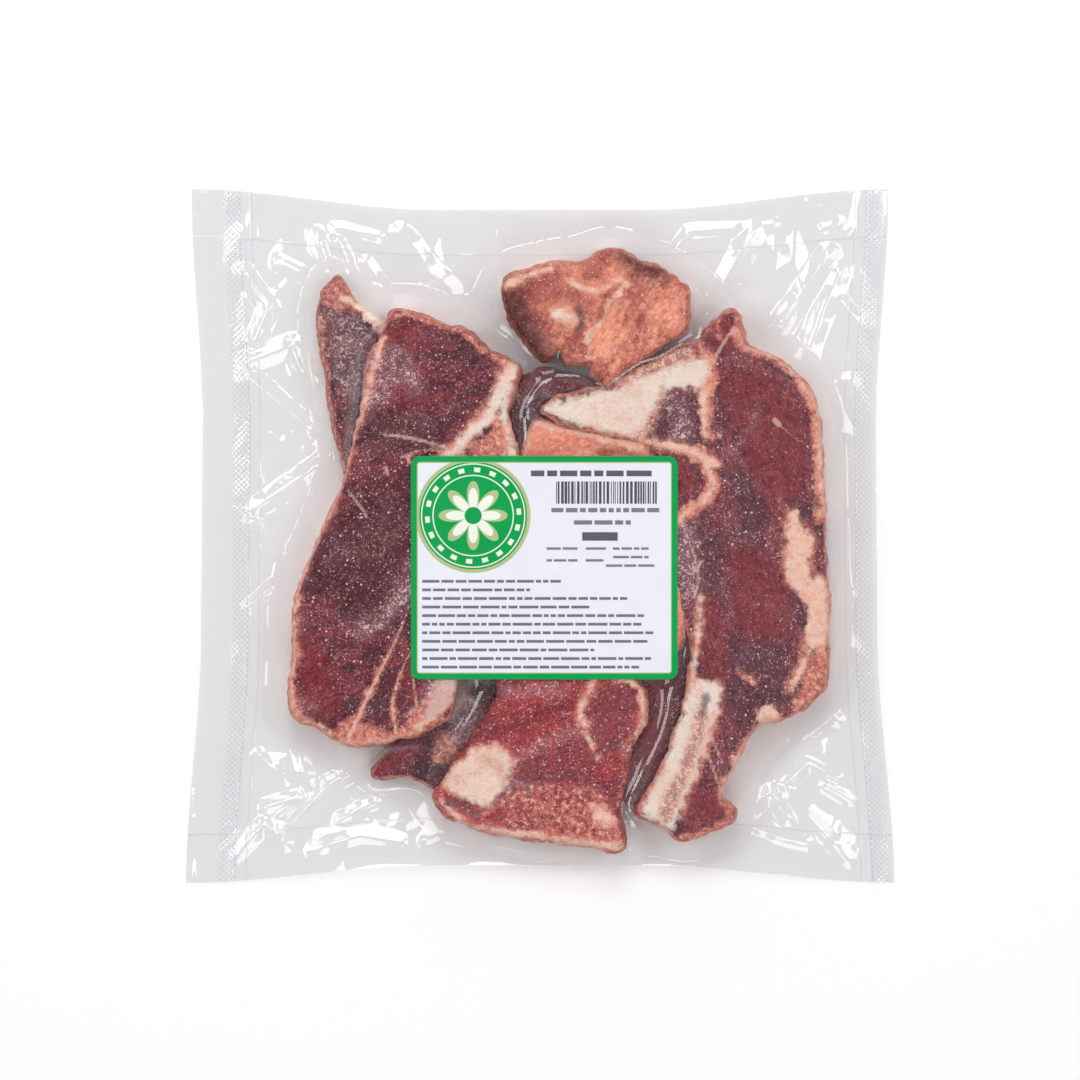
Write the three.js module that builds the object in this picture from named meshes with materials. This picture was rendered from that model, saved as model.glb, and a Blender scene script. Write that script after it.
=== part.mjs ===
// A clear vacuum pouch of raw t-bone steaks with a paper label, lying flat with the label up.
// Millimetres, +Z up; the origin is the bottom centre of the pouch's box.
import * as THREE from "three";

// The pouch: a square film bag sealed on four sides, drawn in between its corners by the vacuum.
const POUCH_HALF_WIDTH_TOP = 147.7;
const POUCH_HALF_WIDTH_BOTTOM = 150.2;
const POUCH_HALF_HEIGHT = 147.1;
const DRAWN_IN = { left: 5.6, right: 6.3, top: 8.9, bottom: 7.6 };
const EDGE_LIFT = { left: 3.5, right: 4.0, top: 4.5, bottom: 7.0 };
const CORNER_ROUND_START = 0.3; // share of a half side where the drawn-in stretch starts to flare
const FLANGE_THICKNESS = 1.2;
const FILM_THICKNESS = 0.3;
const FLAT_HALF_WIDTH = 100; // the underside is flat on the table inside this box
const FLAT_HALF_HEIGHT = 100;

// The film's drape: how hard the vacuum pulls it down for its tension, per millimetre.
// The label's paper is stiffer, so it bridges more of what lies under it.
const VACUUM_PULL = 0.16;
const LABEL_PULL = 0.006;
const DRAPE_PITCH = 2.5;
const DRAPE_REACH = Math.ceil(POUCH_HALF_WIDTH_BOTTOM / DRAPE_PITCH) + 1;
const DRAPE_COUNT = 2 * DRAPE_REACH + 1;
const DRAPE_ROUNDS = 400;
const OVER_RELAXATION = 1.75;

// The grid of the pouch's solid, finer over the meat than over the seals.
const TOP_CELLS = 64;
const BOTTOM_CELLS = TOP_CELLS / 2;
const CENTRE_DENSITY = 0.85;

// The label, pressed on the film.
const LABEL = { x: 1.8, y: -13.4, width: 112.5, height: 94.2, corner: 3.8, thickness: 0.5 };
const LABEL_GAP = 0.3;
const LABEL_CELLS = { across: 18, up: 15 };

// Each piece of meat: its outline seen from above, the height of its top face at the pouch's
// centre line, how that face slopes along x and y, and how round its top edge is.
const PIECES = [
  {
    outline: [[-87, 110], [-70, 98], [-52, 79], [-54, 40], [-76, 19], [-86, 45], [-92, 75], [-93, 97]],
    top: 15,
    slope: [0, 0],
    round: 6,
  },
  {
    outline: [[-7, 68], [20, 66], [60, 36], [75, 0], [75, -70], [52, -116], [38, -114], [13, -78], [-28, -44],
      [-28, 30]],
    top: 16,
    slope: [0, 0],
    round: 4,
  },
  {
    outline: [[-70, -103], [-60, -85], [-49, -61], [-8, -44], [-10, -85], [-28, -105], [-48, -103]],
    top: 13,
    slope: [0, 0],
    round: 5,
  },
  {
    outline: [[-4, 46], [15, 47], [44, 40], [50, 15], [62, -22], [58, -52], [20, -58], [-30, -54], [-26, -22],
      [-14, 5], [-10, 30]],
    top: 26,
    slope: [0, 0],
    round: 4,
  },
  {
    outline: [[-58, 97], [-41, 89], [-20, 77], [-8, 70], [-11, 50], [-9, 25], [-22, -19], [-38, -62], [-48, -81],
      [-66, -88], [-92, -84], [-106, -66], [-104, -35], [-92, 3], [-78, 41], [-71, 74]],
    top: 30,
    slope: [0.085, 0.01],
    round: 5,
  },
  {
    outline: [[82, 96], [88, 82], [110, 69], [119, 45], [121, 0], [122, -45], [119, -68], [94, -80], [78, -108],
      [83, -118], [64, -129], [41, -116], [55, -88], [64, -45], [50, -5], [44, 20], [48, 34], [20, 44], [1, 50],
      [12, 59], [45, 70], [70, 82]],
    top: 31,
    slope: [-0.09, 0.01],
    round: 5,
  },
  {
    outline: [[-42, -106], [-30, -85], [-15, -58], [0, -44], [36, -46], [45, -66], [42, -88], [34, -108],
      [36, -129], [8, -131], [-30, -122]],
    top: 30,
    slope: [0, 0.06],
    round: 6,
  },
  {
    outline: [[-15, 104], [-9, 112], [14, 116], [30, 123], [50, 112], [64, 101], [58, 84], [28, 63], [10, 76],
      [0, 74], [-12, 90]],
    top: 33,
    slope: [0, -0.07],
    round: 7,
  },
];
const OUTLINE_STEPS_PER_POINT = 4;

// Folds that stand up where the film is gathered between the meat and the seals:
// the points along each crest, with the crest's height above the film.
const FOLDS = [
  { crest: [[-60, -89], [-90, -106], [-109, -126]], height: 3.0 },
  { crest: [[-120, 12], [-87, 36]], height: 2.0 },
  { crest: [[-122, 6], [-108, -9], [-123, -30]], height: 1.8 },
  { crest: [[-124, 67], [-99, 46]], height: 2.0 },
  { crest: [[-123, 74], [-105, 81], [-98, 64]], height: 2.2 },
  { crest: [[-59, 129], [-36, 103]], height: 2.2 },
  { crest: [[-95, 128], [-90, 112]], height: 1.8 },
  { crest: [[90, 130], [72, 98]], height: 2.2 },
  { crest: [[122, 119], [95, 78]], height: 2.6 },
  { crest: [[127, 112], [111, 70]], height: 2.2 },
  { crest: [[84, -120], [113, -130]], height: 2.0 },
  { crest: [[104, -106], [115, -120], [131, -138]], height: 2.4 },
];
const FOLD_HALF_WIDTH = 5;

const clamp = THREE.MathUtils.clamp;
const smoothstep = THREE.MathUtils.smoothstep;

// How much of its full pull a side shows at a share t of the half side, 1 at the middle, 0 at a corner.
function bowed(t) {
  return 1 - smoothstep(Math.abs(t), CORNER_ROUND_START, 1);
}

// The pouch's point at u, v, each from -1 to 1 across and up the bag.
function pouchPoint(u, v) {
  const flat = THREE.MathUtils.lerp(POUCH_HALF_WIDTH_BOTTOM, POUCH_HALF_WIDTH_TOP, (v + 1) / 2);
  const side = u < 0 ? DRAWN_IN.left : DRAWN_IN.right;
  const end = v < 0 ? DRAWN_IN.bottom : DRAWN_IN.top;
  return [u * (flat - side * bowed(v)), v * (POUCH_HALF_HEIGHT - end * bowed(u))];
}

// The height of the pouch's underside: flat under the meat, rising to the middle of each side.
function undersideAt(x, y) {
  const u = x / POUCH_HALF_WIDTH_TOP;
  const v = y / POUCH_HALF_HEIGHT;
  const outX = smoothstep(Math.abs(x), FLAT_HALF_WIDTH, POUCH_HALF_WIDTH_TOP);
  const outY = smoothstep(Math.abs(y), FLAT_HALF_HEIGHT, POUCH_HALF_HEIGHT);
  const side = x < 0 ? EDGE_LIFT.left : EDGE_LIFT.right;
  const end = y < 0 ? EDGE_LIFT.bottom : EDGE_LIFT.top;
  return Math.max(side * outX * bowed(v), end * outY * bowed(u));
}

// A closed smooth outline through the given points.
function smoothOutline(points) {
  const curve = new THREE.CatmullRomCurve3(
    points.map(([x, y]) => new THREE.Vector3(x, y, 0)),
    true,
    "centripetal",
  );
  return curve.getPoints(points.length * OUTLINE_STEPS_PER_POINT).slice(0, -1);
}

// The distance from x, y to the stretch from a to b.
function distanceToStretch(x, y, a, b) {
  const dx = b.x - a.x;
  const dy = b.y - a.y;
  const t = clamp(((x - a.x) * dx + (y - a.y) * dy) / (dx * dx + dy * dy), 0, 1);
  return Math.hypot(x - a.x - t * dx, y - a.y - t * dy);
}

// How far x, y lies inside a closed outline, or 0 outside it.
function depthInside(x, y, outline) {
  let inside = false;
  let nearest = Infinity;
  outline.forEach((a, i) => {
    const b = outline[(i + 1) % outline.length];
    nearest = Math.min(nearest, distanceToStretch(x, y, a, b));
    if (a.y > y !== b.y > y && x < a.x + ((y - a.y) * (b.x - a.x)) / (b.y - a.y)) inside = !inside;
  });
  return inside ? nearest : 0;
}

// The height of the meat under x, y: the highest of the pieces there, each with a rounded top edge.
function meatAt(x, y, pieces) {
  return pieces.reduce((highest, { smooth, top, slope, round }) => {
    const depth = depthInside(x, y, smooth);
    if (depth === 0) return highest;
    const short = Math.max(0, round - depth);
    const drop = round - Math.sqrt(round * round - short * short);
    return Math.max(highest, top + slope[0] * x + slope[1] * y - drop);
  }, 0);
}

// A sheet's height on a square grid: it settles on what lies under it, pulled down against its tension.
function settleSheet(floor, pull) {
  const height = floor.slice();
  const step = pull * DRAPE_PITCH * DRAPE_PITCH;
  for (let round = 0; round < DRAPE_ROUNDS; round++) {
    for (let j = 1; j < DRAPE_COUNT - 1; j++) {
      for (let i = 1; i < DRAPE_COUNT - 1; i++) {
        const k = j * DRAPE_COUNT + i;
        const around = height[k - 1] + height[k + 1] + height[k - DRAPE_COUNT] + height[k + DRAPE_COUNT];
        const free = height[k] + OVER_RELAXATION * ((around - step) / 4 - height[k]);
        height[k] = Math.max(floor[k], free);
      }
    }
  }
  return height;
}

// What the film rests on, on the same grid: the meat, or the seals' own level.
function filmFloor() {
  const pieces = PIECES.map((piece) => ({ ...piece, smooth: smoothOutline(piece.outline) }));
  const floor = new Float64Array(DRAPE_COUNT * DRAPE_COUNT);
  for (let j = 0; j < DRAPE_COUNT; j++) {
    for (let i = 0; i < DRAPE_COUNT; i++) {
      const x = (i - DRAPE_REACH) * DRAPE_PITCH;
      const y = (j - DRAPE_REACH) * DRAPE_PITCH;
      const meat = meatAt(x, y, pieces) + FILM_THICKNESS;
      floor[j * DRAPE_COUNT + i] = Math.max(meat, undersideAt(x, y) + FLANGE_THICKNESS);
    }
  }
  return floor;
}

// A settled sheet's height at x, y, between the grid's points.
function sheetAt(sheet, x, y) {
  const gx = clamp(x / DRAPE_PITCH + DRAPE_REACH, 0, DRAPE_COUNT - 1.001);
  const gy = clamp(y / DRAPE_PITCH + DRAPE_REACH, 0, DRAPE_COUNT - 1.001);
  const i = Math.floor(gx);
  const j = Math.floor(gy);
  const k = j * DRAPE_COUNT + i;
  const lower = THREE.MathUtils.lerp(sheet[k], sheet[k + 1], gx - i);
  const upper = THREE.MathUtils.lerp(sheet[k + DRAPE_COUNT], sheet[k + DRAPE_COUNT + 1], gx - i);
  return THREE.MathUtils.lerp(lower, upper, gy - j);
}

// How much the folds raise the film at x, y.
function foldAt(x, y) {
  return FOLDS.reduce((highest, { crest, height }) => {
    const points = crest.map(([px, py]) => ({ x: px, y: py }));
    const nearest = points.slice(1).reduce(
      (least, b, i) => Math.min(least, distanceToStretch(x, y, points[i], b)),
      Infinity,
    );
    return Math.max(highest, height * (1 - smoothstep(nearest, 0, FOLD_HALF_WIDTH)));
  }, 0);
}

const film = settleSheet(filmFloor(), VACUUM_PULL);
const paper = settleSheet(film, LABEL_PULL);

// The height of the pouch's upper face.
function filmAt(x, y) {
  return Math.max(sheetAt(film, x, y) + foldAt(x, y), undersideAt(x, y) + FLANGE_THICKNESS);
}

// A square grid of points, row by row, for a function of u and v from -1 to 1.
function gridPoints(cells, place) {
  const points = [];
  for (let j = 0; j <= cells; j++) {
    for (let i = 0; i <= cells; i++) points.push(place((2 * i) / cells - 1, (2 * j) / cells - 1));
  }
  return points;
}

// The grid's places run closer together over the meat.
function spread(s) {
  return CENTRE_DENSITY * s + (1 - CENTRE_DENSITY) * s ** 3;
}

// The border of a grid, once round, anticlockwise seen from above.
function borderLoop(across, up) {
  const row = across + 1;
  const loop = [];
  for (let i = 0; i < across; i++) loop.push(i);
  for (let j = 0; j < up; j++) loop.push(j * row + across);
  for (let i = across; i > 0; i--) loop.push(up * row + i);
  for (let j = up; j > 0; j--) loop.push(j * row);
  return loop;
}

// The triangles of a grid facing up, each cell cut along the diagonal that follows the fold in it.
function gridFaces(across, up, points) {
  const faces = [];
  for (let j = 0; j < up; j++) {
    for (let i = 0; i < across; i++) {
      const a = j * (across + 1) + i;
      const b = a + 1;
      const d = a + across + 1;
      const c = d + 1;
      if (Math.abs(points[a][2] - points[c][2]) < Math.abs(points[b][2] - points[d][2])) {
        faces.push([a, b, c], [a, c, d]);
      } else {
        faces.push([a, b, d], [b, c, d]);
      }
    }
  }
  return faces;
}

// A geometry from points and triangles.
function geometryOf(points, faces) {
  const geometry = new THREE.BufferGeometry();
  geometry.setAttribute("position", new THREE.Float32BufferAttribute(points.flat(), 3));
  geometry.setIndex(faces.flat());
  geometry.computeVertexNormals();
  return geometry;
}

// The pouch with its contents: a draped upper face, a flatter lower face and a thin edge all round.
function pouchGeometry() {
  const upper = gridPoints(TOP_CELLS, (s, t) => {
    const [x, y] = pouchPoint(spread(s), spread(t));
    return [x, y, filmAt(x, y)];
  });
  const lower = gridPoints(BOTTOM_CELLS, (s, t) => {
    const [x, y] = pouchPoint(spread(s), spread(t));
    return [x, y, undersideAt(x, y)];
  });
  const shift = upper.length;
  const faces = gridFaces(TOP_CELLS, TOP_CELLS, upper);
  gridFaces(BOTTOM_CELLS, BOTTOM_CELLS, lower).forEach(([a, b, c]) => {
    faces.push([a + shift, c + shift, b + shift]);
  });
  const topLoop = borderLoop(TOP_CELLS, TOP_CELLS);
  const bottomLoop = borderLoop(BOTTOM_CELLS, BOTTOM_CELLS);
  bottomLoop.forEach((low, k) => {
    const a = low + shift;
    const b = bottomLoop[(k + 1) % bottomLoop.length] + shift;
    const first = topLoop[2 * k];
    const middle = topLoop[2 * k + 1];
    const last = topLoop[(2 * k + 2) % topLoop.length];
    faces.push([a, b, middle], [a, middle, first], [b, last, middle]);
  });
  return geometryOf([...upper, ...lower], faces);
}

// Places across the label, with one line where its rounded corners start.
function labelLines(size, cells) {
  const inner = size / 2 - LABEL.corner;
  const lines = [-size / 2];
  for (let i = 0; i <= cells - 2; i++) lines.push(inner * ((2 * i) / (cells - 2) - 1));
  return [...lines, size / 2];
}

// The label: thin paper with rounded corners that follows the film.
function labelGeometry() {
  const across = labelLines(LABEL.width, LABEL_CELLS.across);
  const up = labelLines(LABEL.height, LABEL_CELLS.up);
  const cut = LABEL.corner * (1 - Math.SQRT1_2);
  const lower = [];
  up.forEach((lineY, j) => {
    across.forEach((lineX, i) => {
      const corner = (i === 0 || i === LABEL_CELLS.across) && (j === 0 || j === LABEL_CELLS.up);
      const x = LABEL.x + lineX - (corner ? Math.sign(lineX) * cut : 0);
      const y = LABEL.y + lineY - (corner ? Math.sign(lineY) * cut : 0);
      lower.push([x, y, sheetAt(paper, x, y) + LABEL_GAP]);
    });
  });
  const upper = lower.map(([x, y, z]) => [x, y, z + LABEL.thickness]);
  const shift = upper.length;
  const top = gridFaces(LABEL_CELLS.across, LABEL_CELLS.up, lower);
  const faces = [...top];
  top.forEach(([a, b, c]) => faces.push([a + shift, c + shift, b + shift]));
  const loop = borderLoop(LABEL_CELLS.across, LABEL_CELLS.up);
  loop.forEach((a, k) => {
    const b = loop[(k + 1) % loop.length];
    faces.push([a + shift, b + shift, b], [a + shift, b, a]);
  });
  return geometryOf([...upper, ...lower], faces);
}

const steaksInFilm = new THREE.MeshStandardMaterial({ color: 0x8a565c, roughness: 0.3, metalness: 0 });
const labelPaper = new THREE.MeshStandardMaterial({ color: 0xe8eaf3, roughness: 0.5, metalness: 0 });

const pouch = new THREE.Mesh(pouchGeometry(), steaksInFilm);
pouch.name = "vacuum_pouch";

const label = new THREE.Mesh(labelGeometry(), labelPaper);
label.name = "label";

const pack = new THREE.Group();
pack.name = "steak_pack";
pack.add(pouch, label);

export default pack;
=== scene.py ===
"""A clear vacuum pouch of frozen raw t-bone steaks with a paper label, lying flat with the label up."""

import logging
import math
import random
from dataclasses import dataclass, field
from enum import Enum

import bpy
import numpy as np
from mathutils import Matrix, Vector
from mathutils.geometry import delaunay_2d_cdt


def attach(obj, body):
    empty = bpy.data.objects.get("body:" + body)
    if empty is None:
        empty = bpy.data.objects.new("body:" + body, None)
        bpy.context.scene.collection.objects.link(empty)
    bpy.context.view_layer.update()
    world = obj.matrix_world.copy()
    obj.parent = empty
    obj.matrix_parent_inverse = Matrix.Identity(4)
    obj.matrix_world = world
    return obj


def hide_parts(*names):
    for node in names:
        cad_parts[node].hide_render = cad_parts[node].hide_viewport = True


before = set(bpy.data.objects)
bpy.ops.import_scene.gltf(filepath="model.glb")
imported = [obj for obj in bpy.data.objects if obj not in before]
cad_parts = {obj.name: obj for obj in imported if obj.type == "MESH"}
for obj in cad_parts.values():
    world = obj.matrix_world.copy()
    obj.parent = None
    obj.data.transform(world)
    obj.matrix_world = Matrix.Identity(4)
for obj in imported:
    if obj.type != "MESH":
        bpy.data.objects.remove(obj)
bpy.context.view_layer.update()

MM = 0.001
BODY = "root"
POUCH_NODE = "vacuum_pouch"
LABEL_NODE = "label"
POUCH_SLOT = "steaks_in_film"
LABEL_SLOT = "label_paper"

Place = tuple[float, float]
Colour = tuple[float, float, float, float]

log = logging.getLogger("steak_pack")


def tint(red: int, green: int, blue: int) -> Colour:
    """Turn a colour as a screen shows it into the linear values that shaders take.

    Args:
        red: Red from 0 to 255.
        green: Green from 0 to 255.
        blue: Blue from 0 to 255.

    Returns:
        The linear colour with full alpha.
    """
    parts = [(value / 255 + 0.055) / 1.055 for value in (red, green, blue)]
    low = [value / 255 / 12.92 for value in (red, green, blue)]
    linear = [part**2.4 if part > 0.09 else dark for part, dark in zip(parts, low)]
    return (linear[0], linear[1], linear[2], 1.0)


class Wire:
    """A socket in a material's node tree. Arithmetic on it adds Math nodes."""

    def __init__(self, paint: "Paint", socket: bpy.types.NodeSocket) -> None:
        """Keep the paint that the socket belongs to, and the socket."""
        self.paint = paint
        self.socket = socket

    def __add__(self, other: "Wire | float") -> "Wire":
        """Add a wire or a number."""
        return self.paint.math("ADD", self, other)

    def __radd__(self, other: float) -> "Wire":
        """Add this wire to a number."""
        return self.paint.math("ADD", other, self)

    def __sub__(self, other: "Wire | float") -> "Wire":
        """Take a wire or a number away."""
        return self.paint.math("SUBTRACT", self, other)

    def __rsub__(self, other: float) -> "Wire":
        """Take this wire away from a number."""
        return self.paint.math("SUBTRACT", other, self)

    def __mul__(self, other: "Wire | float") -> "Wire":
        """Multiply by a wire or a number."""
        return self.paint.math("MULTIPLY", self, other)

    def __rmul__(self, other: float) -> "Wire":
        """Multiply a number by this wire."""
        return self.paint.math("MULTIPLY", other, self)

    def __truediv__(self, other: "Wire | float") -> "Wire":
        """Divide by a wire or a number."""
        return self.paint.math("DIVIDE", self, other)


class Paint:
    """A material in the making: its node tree, and short ways to add nodes to it."""

    def __init__(self, name: str) -> None:
        """Start an empty material with an output node.

        Args:
            name: What the material is called.
        """
        self.material = bpy.data.materials.new(name)
        self.material.use_nodes = True
        self.tree = self.material.node_tree
        self.tree.nodes.clear()
        self.surface = self.tree.nodes.new("ShaderNodeOutputMaterial").inputs["Surface"]

    def node(self, kind: str, settings: dict, sockets: dict, output: int | str = 0) -> Wire:
        """Add a node.

        Args:
            kind: The node's type.
            settings: The node's own properties, set before its sockets.
            sockets: A value or a wire for each named or numbered input.
            output: The output to hand back.

        Returns:
            The wire from that output.
        """
        made = self.tree.nodes.new(kind)
        for name, value in settings.items():
            setattr(made, name, value)
        for name, value in sockets.items():
            if isinstance(value, Wire):
                self.tree.links.new(value.socket, made.inputs[name])
            else:
                made.inputs[name].default_value = value
        return Wire(self, made.outputs[output])

    def math(self, operation: str, *values: "Wire | float") -> Wire:
        """Add a Math node for an operation on wires and numbers."""
        return self.node("ShaderNodeMath", {"operation": operation}, dict(enumerate(values)))

    def place(self) -> Wire:
        """The place on the object, in metres."""
        return self.node("ShaderNodeTexCoord", {}, {}, "Object")

    def attribute(self, name: str) -> Wire:
        """A number kept on the mesh under that name."""
        return self.node("ShaderNodeAttribute", {"attribute_name": name}, {}, "Fac")

    def noise(self, place: Wire, size: float, detail: float, distortion: float = 0.0) -> Wire:
        """Cloudy noise from 0 to 1.

        Args:
            place: Where the noise is read.
            size: How large its patches are, in millimetres.
            detail: How many finer layers it has.
            distortion: How much it is swirled.

        Returns:
            The noise.
        """
        sockets = {"Vector": place, "Scale": 1 / (size * MM), "Detail": detail, "Distortion": distortion}
        return self.node("ShaderNodeTexNoise", {}, sockets, "Fac")

    def stretched(self, place: Wire, turn: float, along: float) -> Wire:
        """A place turned about Z and then squeezed along X, so that what reads it comes out as fibres."""
        turned = self.node("ShaderNodeMapping", {}, {"Vector": place, "Rotation": (0.0, 0.0, -turn)})
        return self.node("ShaderNodeMapping", {}, {"Vector": turned, "Scale": (1 / along, 1.0, 1.0)})

    def ease(self, value: Wire, low: float, high: float) -> Wire:
        """A smooth step from 0 at low to 1 at high."""
        sockets = {"Value": value, "From Min": low, "From Max": high}
        return self.node("ShaderNodeMapRange", {"interpolation_type": "SMOOTHSTEP"}, sockets)

    def mix(self, share: "Wire | float", first: "Wire | Colour", second: "Wire | Colour") -> Wire:
        """A colour between two colours."""
        settings = {"data_type": "RGBA", "clamp_factor": True}
        return self.node("ShaderNodeMix", settings, {0: share, 6: first, 7: second}, 2)

    def shade(self, colour: Wire, amount: Wire) -> Wire:
        """A colour scaled by a number."""
        scale = self.node("ShaderNodeCombineXYZ", {}, {0: amount, 1: amount, 2: amount})
        return self.node("ShaderNodeVectorMath", {"operation": "MULTIPLY"}, {0: colour, 1: scale})

    def bump(self, height: Wire, distance: float) -> Wire:
        """A normal that follows a height, whose full range is distance in millimetres."""
        sockets = {"Height": height, "Distance": distance * MM, "Strength": 1.0}
        return self.node("ShaderNodeBump", {}, sockets, "Normal")

    def finish(self, shader: Wire) -> bpy.types.Material:
        """Send a shader to the output and hand the material back."""
        self.tree.links.new(shader.socket, self.surface)
        return self.material


class Tissue(Enum):
    """What a mark in the meat is made of, or the painted shade that it stands for. Each value names the mesh
    attribute with its depth.
    """

    FAT = "fat"
    TALLOW = "tallow"
    BONE = "bone"
    MARROW = "marrow"
    SINEW = "sinew"
    # Redder blood zones, and on the top piece a near-black painted shade of its side wall.
    BLOOD_AND_SHADE = "blood_and_shade"
    # Darker muscle: partly the meat's own darker tone, partly painted shade along folds.
    SHADE = "shade"
    FROST = "frost"
    # Painted shade in hollows and beside raised parts; in the dark and frosty finishes, pale frost.
    SHADOW_AND_FROST = "shadow_and_frost"
    RIM = "rim"


FAR_OUTSIDE = -30.0
CURVE_STEPS = 5


def smooth_path(points: list[Place], closed: bool) -> np.ndarray:
    """Draw a smooth curve through points.

    Args:
        points: The points, in millimetres.
        closed: Whether the curve returns to its start.

    Returns:
        The curve's points, one row each.
    """
    knots = np.array(points, float)
    count = len(knots)
    spans = count if closed else count - 1
    rows = []
    for span in range(spans):
        if closed:
            a, b, c, d = (knots[(span + k) % count] for k in (-1, 0, 1, 2))
        else:
            a, b, c, d = (knots[min(max(span + k, 0), count - 1)] for k in (-1, 0, 1, 2))
        for step in range(CURVE_STEPS):
            t = step / CURVE_STEPS
            bend = 2 * b + (c - a) * t + (2 * a - 5 * b + 4 * c - d) * t**2 + (3 * b - a - 3 * c + d) * t**3
            rows.append(bend / 2)
    if not closed:
        rows.append(knots[-1])
    return np.array(rows)


def stretch_distance(places: np.ndarray, start: np.ndarray, end: np.ndarray) -> tuple[np.ndarray, np.ndarray]:
    """Measure how far places are from a straight stretch.

    Args:
        places: The places, one row each.
        start: Where the stretch starts.
        end: Where it ends.

    Returns:
        The distances, and how far along the stretch each nearest point lies, from 0 to 1.
    """
    run = end - start
    share = np.clip(((places - start) @ run) / max(float(run @ run), 1e-9), 0, 1)
    gap = places - start - share[:, None] * run
    return np.hypot(gap[:, 0], gap[:, 1]), share


def outline_depth(places: np.ndarray, outline: np.ndarray) -> np.ndarray:
    """Measure how deep places lie inside a closed outline, with minus signs outside it.

    Args:
        places: The places, one row each.
        outline: The outline's points, one row each.

    Returns:
        The depths.
    """
    nearest = np.full(len(places), np.inf)
    inside = np.zeros(len(places), bool)
    for start, end in zip(outline, np.roll(outline, -1, axis=0)):
        nearest = np.minimum(nearest, stretch_distance(places, start, end)[0])
        if start[1] != end[1]:
            crossing = start[0] + (places[:, 1] - start[1]) * (end[0] - start[0]) / (end[1] - start[1])
            inside ^= ((start[1] > places[:, 1]) != (end[1] > places[:, 1])) & (places[:, 0] < crossing)
    return np.where(inside, nearest, -nearest)


@dataclass(frozen=True)
class Patch:
    """An area of one tissue inside a smooth outline."""

    tissue: Tissue
    outline: list[Place]

    def depth(self, places: np.ndarray) -> np.ndarray:
        """How deep places lie inside the patch."""
        return outline_depth(places, smooth_path(self.outline, True))


@dataclass(frozen=True)
class Streak:
    """A band of one tissue along a smooth path, whose width may change from end to end."""

    tissue: Tissue
    path: list[Place]
    width: float
    end_width: float | None = None

    def depth(self, places: np.ndarray) -> np.ndarray:
        """How deep places lie inside the band.

        Args:
            places: The places, one row each.

        Returns:
            Millimetres inside, below 0 outside.
        """
        line = smooth_path(self.path, False)
        last = self.width if self.end_width is None else self.end_width
        deepest = np.full(len(places), FAR_OUTSIDE)
        for index, (start, end) in enumerate(zip(line[:-1], line[1:])):
            distance, share = stretch_distance(places, start, end)
            along = (index + share) / (len(line) - 1)
            deepest = np.maximum(deepest, (self.width + (last - self.width) * along) / 2 - distance)
        return deepest


Mark = Patch | Streak


def ripple(places: np.ndarray, size: float, seed: int) -> np.ndarray:
    """Make a smooth uneven height from a few crossing waves.

    Args:
        places: The places, one row each.
        size: The waves' usual length.
        seed: Which waves are drawn.

    Returns:
        Heights that mostly lie between -1 and 1.
    """
    draw = np.random.default_rng(seed)
    height = np.zeros(len(places))
    waves = 9
    for _ in range(waves):
        heading = draw.uniform(0, 2 * math.pi)
        length = size * draw.uniform(0.7, 1.6)
        wave = np.array([math.cos(heading), math.sin(heading)]) * 2 * math.pi / length
        height += np.sin(places @ wave + draw.uniform(0, 2 * math.pi))
    return height / math.sqrt(waves)


def ease(value: np.ndarray, low: float, high: float) -> np.ndarray:
    """A smooth step from 0 at low to 1 at high."""
    share = np.clip((value - low) / (high - low), 0, 1)
    return share * share * (3 - 2 * share)


class Grain:
    """The noises that all the tissues of one piece share, with their sizes in millimetres."""

    def __init__(self, paint: Paint, fibre_turn: float, band_stretch: float) -> None:
        """Add the noises.

        Args:
            paint: The material in the making.
            fibre_turn: The fibres' heading, in radians from X.
            band_stretch: How much longer than wide the dark and light bands are.
        """
        self.paint = paint
        self.place = paint.place()
        self.wander = (paint.noise(self.place, 4.0, 3.0) - 0.5) * 5.7
        self.flutter = (paint.noise(self.place, 1.1, 1.0) - 0.5) * 2.2
        self.fibres = paint.noise(paint.stretched(self.place, fibre_turn, 6.0), 0.9, 2.0)
        self.bands = paint.noise(paint.stretched(self.place, fibre_turn, band_stretch), 9.0, 3.0, 0.5)
        self.mottle = paint.noise(self.place, 2.4, 3.0, 0.5)
        self.fine = paint.noise(self.place, 0.7, 1.0)
        self.speckle = self.mottle * 0.78 + self.fine * 0.22

    def depth(self, tissue: Tissue, low: float, high: float, wander: float, flutter: float) -> Wire:
        """Where a tissue is, with an uneven edge.

        Args:
            tissue: The tissue.
            low: The depth at which it starts, in millimetres.
            high: The depth at which it is whole.
            wander: How far its edge follows the coarser noise.
            flutter: How far its edge follows the finer noise.

        Returns:
            A mask from 0 to 1.
        """
        uneven = self.wander * wander + self.flutter * flutter
        return self.paint.ease(self.paint.attribute(tissue.value) + uneven, low, high)


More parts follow.
